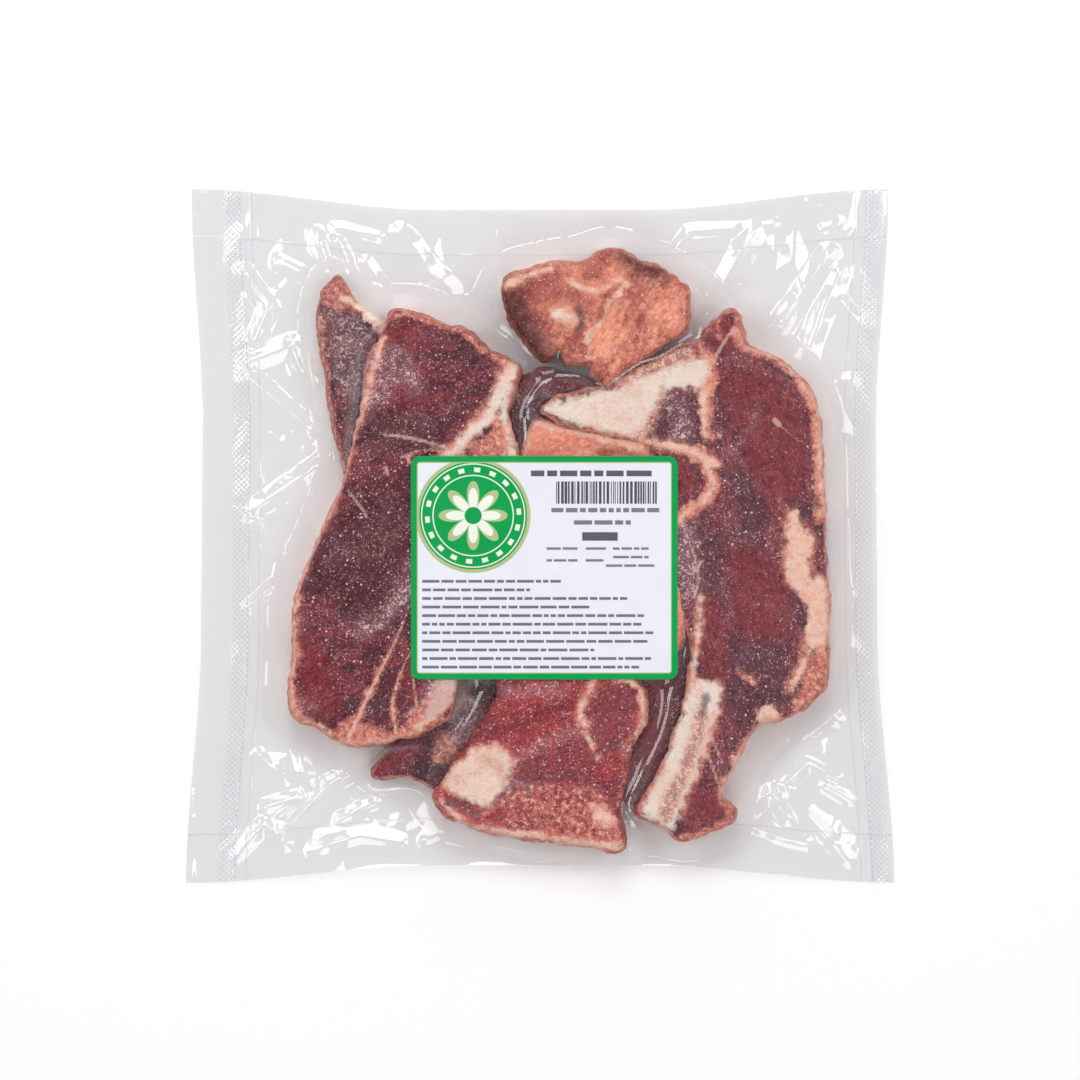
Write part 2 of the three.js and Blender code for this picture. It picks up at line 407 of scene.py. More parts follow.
@dataclass(frozen=True)
class MeatFinish:
    """Frozen raw meat: muscle, fat, bone and frost, told apart by the depths kept on the mesh."""

    name: str
    muscle: tuple[int, int, int] = (120, 48, 57)
    dark: tuple[int, int, int] = (86, 38, 48)
    # The blood colour; the brown finish makes it near black as painted shade.
    blood_and_shade: tuple[int, int, int] = (126, 42, 48)
    stain: tuple[int, int, int] = (182, 98, 87)
    tallow: tuple[int, int, int] = (226, 144, 122)
    fat: tuple[int, int, int] = (234, 192, 173)
    bone: tuple[int, int, int] = (233, 214, 201)
    marrow: tuple[int, int, int] = (176, 114, 102)
    frost: tuple[int, int, int] = (222, 192, 194)
    haze: tuple[int, int, int] = (140, 92, 100)
    # This colour paints shade in hollows and beside raised parts; the dark and frosty finishes make it pale
    # frost.
    shadow_and_frost: tuple[int, int, int] = (112, 96, 106)
    fibre_turn: float = 0.4
    band_stretch: float = 1.8
    frost_amount: float = 0.0
    rim_width: float = 1.1
    band_blend: float = 0.075
    contrast: float = 1.25

    def material(self) -> bpy.types.Material:
        """Build the material.

        Returns:
            The material, which reads the tissue depths and object coordinates.
        """
        paint = Paint(self.name)
        grain = Grain(paint, self.fibre_turn, self.band_stretch)
        frost = grain.depth(Tissue.FROST, -5.0, 4.0, 1.0, 0.5) + self.frost_amount
        colour = self.muscle_colour(paint, grain)
        colour = paint.mix(paint.ease(frost, 0.0, 1.2) * 0.55, colour, tint(*self.haze))
        colour = self.fat_colour(paint, grain, colour)
        colour = self.bone_colour(paint, grain, colour)
        hard = paint.math("MAXIMUM", grain.depth(Tissue.BONE, -1.0, 0.7, 0.2, 0.2),
                          grain.depth(Tissue.FAT, -1.0, 0.7, 0.3, 0.3))
        calm = paint.math("MAXIMUM", hard, grain.depth(Tissue.BLOOD_AND_SHADE, -2.0, 3.0, 1.0, 0.3) * 0.8)
        ice = self.ice(paint, grain, frost) * (1 - calm * 0.75)
        colour = paint.mix(ice, colour, tint(*self.frost))
        height = grain.mottle * 0.85 + grain.fibres * 0.25 + grain.fine * 0.6
        sockets = {
            "Base Color": colour,
            "Roughness": 0.66 - paint.ease(grain.mottle, 0.3, 0.7) * 0.2,
            "Normal": paint.bump(height, 0.8),
            "Specular IOR Level": 0.08,
        }
        return paint.finish(paint.node("ShaderNodeBsdfPrincipled", {}, sockets))

    def muscle_colour(self, paint: Paint, grain: Grain) -> Wire:
        """The lean meat, in dark and red bands with fibres, and its drier rim.

        Args:
            paint: The material in the making.
            grain: Its noises and marks.

        Returns:
            The colour.
        """
        middle = 0.495
        banded = grain.bands * 0.7 + grain.mottle * 0.3
        light = paint.ease(banded, middle - self.band_blend, middle + self.band_blend)
        colour = paint.mix(light, tint(*self.dark), tint(*self.muscle))
        # Darker muscle where the shade marks lie: partly the meat's own tone, partly painted shade along
        # folds.
        colour = paint.mix(grain.depth(Tissue.SHADE, -5.0, 5.0, 1.0, 0.3) * 0.8, colour, tint(*self.dark))
        # Redder zones where the blood marks lie; in the brown finish this paints the shade of a side wall.
        blood_and_shade = grain.depth(Tissue.BLOOD_AND_SHADE, -6.0, 5.0, 1.4, 0.5)
        colour = paint.mix(blood_and_shade * 0.85, colour, tint(*self.blood_and_shade))
        rim = 1 - grain.depth(Tissue.RIM, 0.2, self.rim_width, 0.3, 0.5)
        dried = paint.mix(paint.ease(grain.speckle, 0.4, 0.56), tint(*self.stain), tint(*self.tallow))
        colour = paint.mix(rim * (0.85 - blood_and_shade * 0.6), colour, dried)
        uneven = grain.fibres * 1.2 + grain.fine * 1.0 + grain.mottle * 0.8 - 1.5
        return paint.shade(colour, uneven * self.contrast + 1.0)

    def fat_colour(self, paint: Paint, grain: Grain, under: Wire) -> Wire:
        """The fat, sinew and stained fat over the lean meat.

        Args:
            paint: The material in the making.
            grain: Its noises and marks.
            under: The colour of the lean meat.

        Returns:
            The colour.
        """
        tallow = grain.depth(Tissue.TALLOW, -1.4, 1.2, 1.0, 1.0)
        stained = paint.mix(paint.ease(grain.speckle, 0.38, 0.6), tint(*self.stain), tint(*self.tallow))
        stained = paint.mix(paint.ease(grain.mottle, 0.56, 0.68) * 0.7, stained, tint(*self.fat))
        stained = paint.shade(stained, 0.74 + grain.fine * 0.52)
        colour = paint.mix(tallow * 0.9, under, stained)
        halo = grain.depth(Tissue.FAT, -3.4, 0.4, 1.0, 0.9)
        colour = paint.mix(halo * paint.ease(grain.bands, 0.35, 0.6) * 0.8, colour, tint(*self.tallow))
        creamy = paint.mix(paint.ease(grain.mottle, 0.44, 0.66) * 0.5, tint(*self.fat), tint(*self.tallow))
        creamy = paint.shade(creamy, 0.79 + grain.fine * 0.44)
        colour = paint.mix(grain.depth(Tissue.FAT, -1.2, 1.2, 1.0, 1.0), colour, creamy)
        sinew = grain.depth(Tissue.SINEW, -0.45, 0.35, 0.1, 0.5)
        return paint.mix(sinew * 0.55, colour, tint(*self.fat))

    def bone_colour(self, paint: Paint, grain: Grain, under: Wire) -> Wire:
        """The bone over the rest, with a pinkish edge, fine pores and a marrow channel.

        Args:
            paint: The material in the making.
            grain: Its noises and marks.
            under: The colour of meat and fat.

        Returns:
            The colour.
        """
        halo = grain.depth(Tissue.BONE, -2.8, 0.6, 1.3, 0.9)
        colour = paint.mix(halo * paint.ease(grain.bands, 0.35, 0.6) * 0.85, under, tint(*self.tallow))
        pores = paint.ease(grain.fine, 0.5, 0.73) * 0.35
        pale = paint.mix(pores, tint(*self.bone), tint(*self.fat))
        pale = paint.mix(paint.ease(grain.mottle + grain.bands, 0.98, 1.25) * 0.4, pale, tint(*self.tallow))
        pale = paint.mix(paint.ease(grain.fine, 0.64, 0.8) * 0.5, pale, tint(*self.stain))
        pale = paint.shade(pale, 0.86 + grain.mottle * 0.28)
        colour = paint.mix(grain.depth(Tissue.BONE, -1.0, 2.4, 1.3, 0.9), colour, pale)
        cells = paint.ease(grain.fine + grain.mottle, 0.9, 1.2)
        spongy = paint.mix(cells, tint(*self.marrow), tint(*self.fat))
        marrow = grain.depth(Tissue.MARROW, -2.0, 2.0, 0.7, 0.6)
        colour = paint.mix(marrow * 0.9, colour, spongy)
        # Painted shade in hollows and beside raised parts; where the finish makes the colour pale, this
        # paints frost.
        shadow_and_frost = grain.depth(Tissue.SHADOW_AND_FROST, -1.2, 1.6, 0.4, 0.8)
        return paint.mix(shadow_and_frost * 0.85, colour, tint(*self.shadow_and_frost))

    def ice(self, paint: Paint, grain: Grain, frost: Wire) -> Wire:
        """The ice on the meat: short strokes, flakes where there is frost, and scattered round grains.

        Args:
            paint: The material in the making.
            grain: The shared noises.
            frost: How frosted each place is, from 0.

        Returns:
            A mask from 0 to 1.
        """
        strokes = paint.noise(grain.place, 1.0, 1.0, 1.8)
        dense = grain.bands * 0.14 + paint.ease(frost, 0.0, 1.4) * 0.08
        fine = paint.ease(strokes + dense, 0.69, 0.8) * 0.7
        flakes = paint.noise(grain.place, 1.7, 3.0, 1.0)
        rime = paint.ease(flakes + frost * 0.06, 0.592, 0.722) * paint.ease(frost, 0.05, 0.9) * 0.75
        dots = self.grains(paint, grain.place, 2.9, 0.11) + self.grains(paint, grain.place, 1.6, 0.15) * 0.6
        return paint.math("MINIMUM", fine + rime + dots, 0.92)

    def grains(self, paint: Paint, place: Wire, size: float, radius: float) -> Wire:
        """Round grains of ice, in about half of the cells of the given size.

        Args:
            paint: The material in the making.
            place: Where they are read.
            size: The cells' size in millimetres.
            radius: The grains' radius as a share of a cell.

        Returns:
            A mask that is 1 on a grain.
        """
        sockets = {"Vector": place, "Scale": 1 / (size * MM)}
        distance = paint.node("ShaderNodeTexVoronoi", {}, sockets, "Distance")
        cell = paint.node("ShaderNodeTexVoronoi", {}, sockets, "Color")
        lot = paint.node("ShaderNodeSeparateColor", {}, {0: cell}, 0)
        size_here = paint.ease(lot, 0.3, 1.0) * radius
        return 1 - paint.ease(distance - size_here, 0.0, radius)


@dataclass(frozen=True)
class Dip:
    """A place where a top face lies lower, or higher where its depth is below nought."""

    mark: Mark
    depth: float
    slope: float = 2.0

    def drop(self, places: np.ndarray) -> np.ndarray:
        """How far the top face lies lower at each place."""
        return self.depth * ease(self.mark.depth(places), -self.slope, self.slope)


@dataclass
class Steak:
    """One piece of meat: a slab with a smooth outline, a tilted top face and marks on it."""

    name: str
    outline: list[Place]
    top: float
    slope: Place
    edge_round: float
    finish: MeatFinish
    marks: list[Mark]
    lies_on: list[str] = field(default_factory=list)
    dips: list[Dip] = field(default_factory=list)
    relief: float = 0.6
    seed: int = 1

    VOXEL = 1.1
    SOFTENING = 4
    RISE = 12.0
    BOTTOM = 0.45
    GAP = 0.4
    LEAST_THICKNESS = 2.0
    OVERHANG = 0.8
    LONG_SWELL = 26.0
    SHORT_SWELL = 8.0
    SHORT_RELIEF = 0.25
    BONE_PROUD = 0.5
    WALL_BULGE = 0.5
    WALL_WAVE = 15.0
    RAGGED = ((0.3, 9.0, 20), (0.2, 3.2, 21))
    NEAR = 10.0

    def path(self) -> np.ndarray:
        """The smooth outline's points."""
        return smooth_path(self.outline, True)

    def depth_at(self, places: np.ndarray) -> np.ndarray:
        """How deep places lie inside the outline, read only within NEAR of it.

        Args:
            places: The places, one row each.

        Returns:
            Millimetres inside, below 0 outside.
        """
        path = self.path()
        low, high = path.min(axis=0) - self.NEAR, path.max(axis=0) + self.NEAR
        near = np.all((places > low) & (places < high), axis=1)
        depth = np.full(len(places), FAR_OUTSIDE)
        depth[near] = outline_depth(places[near], path)
        return depth

    def top_heights(self, places: np.ndarray) -> np.ndarray:
        """Measure the top face.

        Args:
            places: The places, one row each, in millimetres.

        Returns:
            The top's height at each place, low where a place is outside the piece.
        """
        depth = self.depth_at(places)
        over = depth > -self.OVERHANG
        drop = self.curl(depth[over])
        height = np.full(len(places), FAR_OUTSIDE)
        height[over] = self.top + places[over] @ np.array(self.slope) - drop + self.swell(places[over])
        return height

    def curl(self, depth: np.ndarray) -> np.ndarray:
        """How far the rounded edge drops at each depth inside the outline."""
        short = np.clip(self.edge_round - depth, 0, self.edge_round)
        return self.edge_round - np.sqrt(self.edge_round**2 - short**2)

    def swell(self, places: np.ndarray) -> np.ndarray:
        """Measure how the top face rises and dips about its plane.

        Args:
            places: The places, one row each, in millimetres.

        Returns:
            The rise at each place.
        """
        rise = self.relief * ripple(places, self.LONG_SWELL, self.seed)
        rise += self.SHORT_RELIEF * ripple(places, self.SHORT_SWELL, self.seed + 50)
        for mark in self.marks:
            if mark.tissue in (Tissue.BONE, Tissue.FAT):
                rise += self.BONE_PROUD * ease(mark.depth(places), -1.5, 1.5)
        for dip in self.dips:
            rise -= dip.drop(places)
        return rise

    def build(self, support: "HeightMap") -> bpy.types.Object:
        """Model the piece over what lies below it.

        Args:
            support: How high the lower sheet and the pieces under this one reach.

        Returns:
            The finished object.
        """
        path = self.path()
        bpy.ops.object.select_all(action="DESELECT")
        bpy.ops.mesh.primitive_circle_add(vertices=len(path), radius=0.05, fill_type="NGON")
        piece = bpy.context.active_object
        piece.name = self.name
        for vertex, (x, y) in zip(piece.data.vertices, path):
            vertex.co = (x * MM, y * MM, 0)
        bpy.ops.object.mode_set(mode="EDIT")
        bpy.ops.mesh.select_all(action="SELECT")
        bpy.ops.mesh.extrude_region_move(TRANSFORM_OT_translate={"value": (0, 0, self.RISE * MM)})
        bpy.ops.mesh.select_all(action="SELECT")
        bpy.ops.mesh.normals_make_consistent(inside=False)
        bpy.ops.object.mode_set(mode="OBJECT")
        remesh = piece.modifiers.new("even", "REMESH")
        remesh.mode = "VOXEL"
        remesh.voxel_size = self.VOXEL * MM
        bpy.ops.object.modifier_apply(modifier=remesh.name)
        smooth = piece.modifiers.new("soften", "SMOOTH")
        smooth.iterations = self.SOFTENING
        bpy.ops.object.modifier_apply(modifier=smooth.name)
        self.place_heights(piece, support)
        self.keep_depths(piece)
        bpy.ops.object.shade_smooth()
        piece.data.materials.append(self.finish.material())
        return piece

    def place_heights(self, piece: bpy.types.Object, support: "HeightMap") -> None:
        """Move the slab's points between its true underside and its true top.

        Args:
            piece: The slab, with its points from 0 to RISE.
            support: How high the lower sheet and the pieces under this one reach.
        """
        points = read_points(piece)
        flat = points[:, :2]
        share = np.clip(points[:, 2] / self.RISE, 0, 1)
        depth = np.maximum(outline_depth(flat, self.path()), 0)
        curl = self.curl(depth)
        top = self.top + flat @ np.array(self.slope) - curl + self.swell(flat)
        bottom = np.maximum(self.BOTTOM, support.at(flat) + self.GAP) + curl * 0.5
        bottom = np.minimum(bottom, top - self.LEAST_THICKNESS)
        points[:, 2] = bottom + (top - bottom) * share
        wall = ease(share, 0.0, 0.35) * (1 - ease(share, 0.65, 1.0)) * ease(-depth, -2.0, 0.0)
        wave = ripple(points[:, [0, 2]] + flat[:, [1, 0]] * 0.7, self.WALL_WAVE, self.seed + 9)
        bulge = wall * (self.WALL_BULGE * wave + self.WALL_BULGE)
        ragged = np.zeros(len(flat))
        for height, size, shift in self.RAGGED:
            ragged += height * ripple(flat, size, self.seed + shift)
        bulge += ragged * (1 - ease(depth, 0.5, 3.0))
        points[:, :2] += self.outward(flat) * bulge[:, None]
        write_points(piece, points)

    def outward(self, places: np.ndarray) -> np.ndarray:
        """The direction away from the piece's inside at each place.

        Args:
            places: The places, one row each.

        Returns:
            Directions of length 1, one row each.
        """
        path = self.path()
        step = 0.5
        across = outline_depth(places + (step, 0), path) - outline_depth(places - (step, 0), path)
        up = outline_depth(places + (0, step), path) - outline_depth(places - (0, step), path)
        way = -np.stack([across, up], axis=1)
        return way / np.maximum(np.hypot(way[:, 0], way[:, 1]), 1e-6)[:, None]

    def keep_depths(self, piece: bpy.types.Object) -> None:
        """Keep, for each tissue, how deep each point lies inside its marks.

        Args:
            piece: The finished slab.
        """
        flat = read_points(piece)[:, :2]
        for tissue in Tissue:
            deepest = np.full(len(flat), FAR_OUTSIDE)
            for mark in self.marks:
                if mark.tissue is tissue:
                    deepest = np.maximum(deepest, mark.depth(flat))
            if tissue is Tissue.RIM:
                deepest = outline_depth(flat, self.path())
            keep(piece, tissue.value, deepest)


def read_points(piece: bpy.types.Object) -> np.ndarray:
    """A mesh's points in millimetres, one row each.

    Args:
        piece: The mesh object.

    Returns:
        The points, one row each.
    """
    flat = np.zeros(len(piece.data.vertices) * 3, np.float32)
    piece.data.vertices.foreach_get("co", flat)
    return flat.reshape(-1, 3).astype(float) / MM


def write_points(piece: bpy.types.Object, points: np.ndarray) -> None:
    """Put points given in millimetres back into a mesh."""
    piece.data.vertices.foreach_set("co", (points * MM).astype(np.float32).ravel())
    piece.data.update()


def new_piece(name: str, points: np.ndarray, faces: list[tuple[int, ...]]) -> bpy.types.Object:
    """Make an object from points given in millimetres and faces.

    Args:
        name: What the object is called.
        points: Its points, one row each.
        faces: The point numbers of each face.

    Returns:
        The object, linked to the scene.
    """
    mesh = bpy.data.meshes.new(name)
    mesh.from_pydata((points * MM).tolist(), [], faces)
    mesh.update()
    piece = bpy.data.objects.new(name, mesh)
    bpy.context.scene.collection.objects.link(piece)
    return piece


def keep(piece: bpy.types.Object, name: str, values: np.ndarray) -> None:
    """Keep a number for each point of a mesh, which its material reads."""
    kept = piece.data.attributes.new(name, "FLOAT", "POINT")
    kept.data.foreach_set("value", values.astype(np.float32))


@dataclass
class HeightMap:
    """Heights over a square grid about the pouch's centre, in millimetres."""

    heights: np.ndarray
    pitch: float

    REACH = 152.5

    @classmethod
    def places(cls, pitch: float) -> np.ndarray:
        """The grid's places, row by row from the lowest Y.

        Args:
            pitch: The distance between neighbours.

        Returns:
            X and Y of each place, one row each.
        """
        line = np.arange(-cls.REACH, cls.REACH + pitch / 2, pitch)
        across, up = np.meshgrid(line, line)
        return np.stack([across.ravel(), up.ravel()], axis=1)

    @classmethod
    def over(cls, heights: np.ndarray, pitch: float) -> "HeightMap":
        """A map from the heights at its places."""
        side = int(round(math.sqrt(len(heights))))
        return cls(heights.reshape(side, side), pitch)

    def at(self, places: np.ndarray) -> np.ndarray:
        """Read the map.

        Args:
            places: The places, one row each.

        Returns:
            The height at each place, between the grid's own.
        """
        last = len(self.heights) - 1.001
        across = np.clip((places[:, 0] + self.REACH) / self.pitch, 0, last)
        up = np.clip((places[:, 1] + self.REACH) / self.pitch, 0, last)
        i, j = across.astype(int), up.astype(int)
        s, t = across - i, up - j
        lower = self.heights[j, i] * (1 - s) + self.heights[j, i + 1] * s
        upper = self.heights[j + 1, i] * (1 - s) + self.heights[j + 1, i + 1] * s
        return lower * (1 - t) + upper * t


def settle(floor: np.ndarray, start: np.ndarray, pull: float, rounds: int) -> np.ndarray:
    """Let a stretched sheet settle on a floor.

    Args:
        floor: The least height at each point of a grid.
        start: The sheet's first height.
        pull: How far the vacuum pulls a point down for its tension, in each round.
        rounds: How many rounds it gets.

    Returns:
        The sheet's height.
    """
    height = np.maximum(start, floor)
    rows, columns = np.indices(floor.shape)
    chequer = ((rows + columns) % 2)[1:-1, 1:-1] == 0
    speed = 1.7
    for _ in range(rounds):
        for cells in (chequer, ~chequer):
            around = height[:-2, 1:-1] + height[2:, 1:-1] + height[1:-1, :-2] + height[1:-1, 2:]
            middle = height[1:-1, 1:-1]
            free = middle + speed * ((around - pull) / 4 - middle)
            height[1:-1, 1:-1] = np.where(cells, np.maximum(free, floor[1:-1, 1:-1]), middle)
    return height


@dataclass(frozen=True)
class Crease:
    """A fold in the film: points along its crest, its height and its half width."""

    crest: list[Place]
    height: float
    half_width: float = 5.0

    def rise(self, places: np.ndarray) -> np.ndarray:
        """How far the fold lifts the film, as two flat flanks that meet at the crest.

        Args:
            places: The places, one row each.

        Returns:
            The lift at each place.
        """
        nearest = np.full(len(places), np.inf)
        line = np.array(self.crest, float)
        for start, end in zip(line[:-1], line[1:]):
            nearest = np.minimum(nearest, stretch_distance(places, start, end)[0])
        return self.height * np.clip(1 - nearest / self.half_width, 0, 1)


@dataclass(frozen=True)
class Crumple:
    """Flat facets that meet in creases, as in film that was pressed together."""

    spacing: float
    height: float
    seed: int

    REACH = 215.0
    SCATTER = 0.42
    TURN = 0.5
    TOUCH = 1e-6

    def rise(self, places: np.ndarray) -> np.ndarray:
        """How far the facets lift the film.

        Args:
            places: The places, one row each.

        Returns:
            The rise at each place.
        """
        draw = np.random.default_rng(self.seed)
        line = np.arange(-self.REACH, self.REACH + self.spacing, self.spacing)
        corners = np.stack([axis.ravel() for axis in np.meshgrid(line, line)], axis=1)
        corners += draw.uniform(-self.SCATTER, self.SCATTER, corners.shape) * self.spacing
        cosine, sine = math.cos(self.TURN), math.sin(self.TURN)
        corners = corners @ np.array([(cosine, sine), (-sine, cosine)])
        heights = self.height * draw.uniform(0, 1, len(corners))
        facets = delaunay_2d_cdt([Vector(corner) for corner in corners], [], [], 0, self.TOUCH)[2]
        rise = np.zeros(len(places))
        for facet in facets:
            a, b, c = corners[list(facet)]
            low, high = np.minimum(np.minimum(a, b), c), np.maximum(np.maximum(a, b), c)
            near = np.flatnonzero(np.all((places >= low) & (places <= high), axis=1))
            shares = np.linalg.solve(np.array([b - a, c - a]).T, (places[near] - a).T)
            within = (shares.min(axis=0) >= -self.TOUCH) & (shares.sum(axis=0) <= 1 + self.TOUCH)
            first, second, third = heights[list(facet)]
            height = first + shares[0] * (second - first) + shares[1] * (third - first)
            rise[near[within]] = height[within]
        return rise


@dataclass(frozen=True)
class FilmFinish:
    """Clear glossy film, embossed along its seals with a painted sheen on the embossing, and duller where it
    clings to the meat.
    """

    name: str = "clear_film"
    haze: float = 0.065
    grey: tuple[int, int, int] = (176, 181, 192)
    mirror_straight: float = 0.07
    mirror_glancing: float = 0.4
    roughness: float = 0.05
    clinging_mirror: float = 0.12
    # How much whiter the seal hatch is painted: partly the embossed film's milkiness, partly a painted sheen
    # for light that the embossing catches.
    seal_painted_sheen: float = 0.22

    def material(self) -> bpy.types.Material:
        """Build the material.

        Returns:
            The material, which reads the film's flat place in millimetres and where it clings.
        """
        paint = Paint(self.name)
        place = paint.place()
        cling = paint.attribute("cling")
        crinkle = paint.noise(place, 7.0, 2.0)
        bars = self.embossing(paint)
        height = crinkle * 0.5 + bars * 0.5
        normal = paint.bump(height, 0.14)
        facing = paint.node("ShaderNodeLayerWeight", {}, {"Blend": 0.5, "Normal": normal}, "Facing")
        glance = paint.math("POWER", facing, 4.0) * self.mirror_glancing
        clear = paint.node("ShaderNodeBsdfTransparent", {}, {"Color": (1.0, 1.0, 1.0, 1.0)})
        sockets = {"Base Color": tint(*self.grey), "Roughness": 0.45, "Normal": normal}
        body = paint.node("ShaderNodeBsdfPrincipled", {}, sockets)
        # The seal hatch raises the haze: a painted sheen where the embossing catches light.
        haze = (1 - cling * 0.85) * self.haze + paint.math("MAXIMUM", bars, 0.0) * self.seal_painted_sheen
        sheet = paint.node("ShaderNodeMixShader", {}, {0: haze, 1: clear, 2: body})
        roughness = self.roughness + cling * 0.25
        sockets = {"Color": (1.0, 1.0, 1.0, 1.0), "Roughness": roughness, "Normal": normal}
        gloss = paint.node("ShaderNodeBsdfGlossy", {}, sockets)
        mirror = (glance + self.mirror_straight) * (1 - cling * (1 - self.clinging_mirror))
        return paint.finish(paint.node("ShaderNodeMixShader", {}, {0: mirror, 1: sheet, 2: gloss}))

    def embossing(self, paint: Paint) -> Wire:
        """The hatched strips of the side seals, and the lines beside them and along the ends.

        Args:
            paint: The material in the making.

        Returns:
            A height from about -0.5 to 1.
        """
        inward = paint.attribute("from_side")
        up = paint.attribute("up_side")
        strip = paint.ease(inward, 13.0, 14.0) * (1 - paint.ease(inward, 20.0, 21.0))
        hatch = paint.math("SINE", (up + inward) * 2.6) + paint.math("SINE", (up - inward) * 2.6) * 0.6
        lines = self.line(paint, inward, 20.8) + self.line(paint, inward, 25.5) * 0.5
        lines = lines + self.line(paint, paint.attribute("from_end"), 20.8) * 0.6
        return strip * hatch * 0.4 + lines * 0.6

    def line(self, paint: Paint, distance: Wire, place: float) -> Wire:
        """A thin raised line at a distance from an edge."""
        return 1 - paint.ease(paint.math("ABSOLUTE", distance - place), 0.2, 0.6)


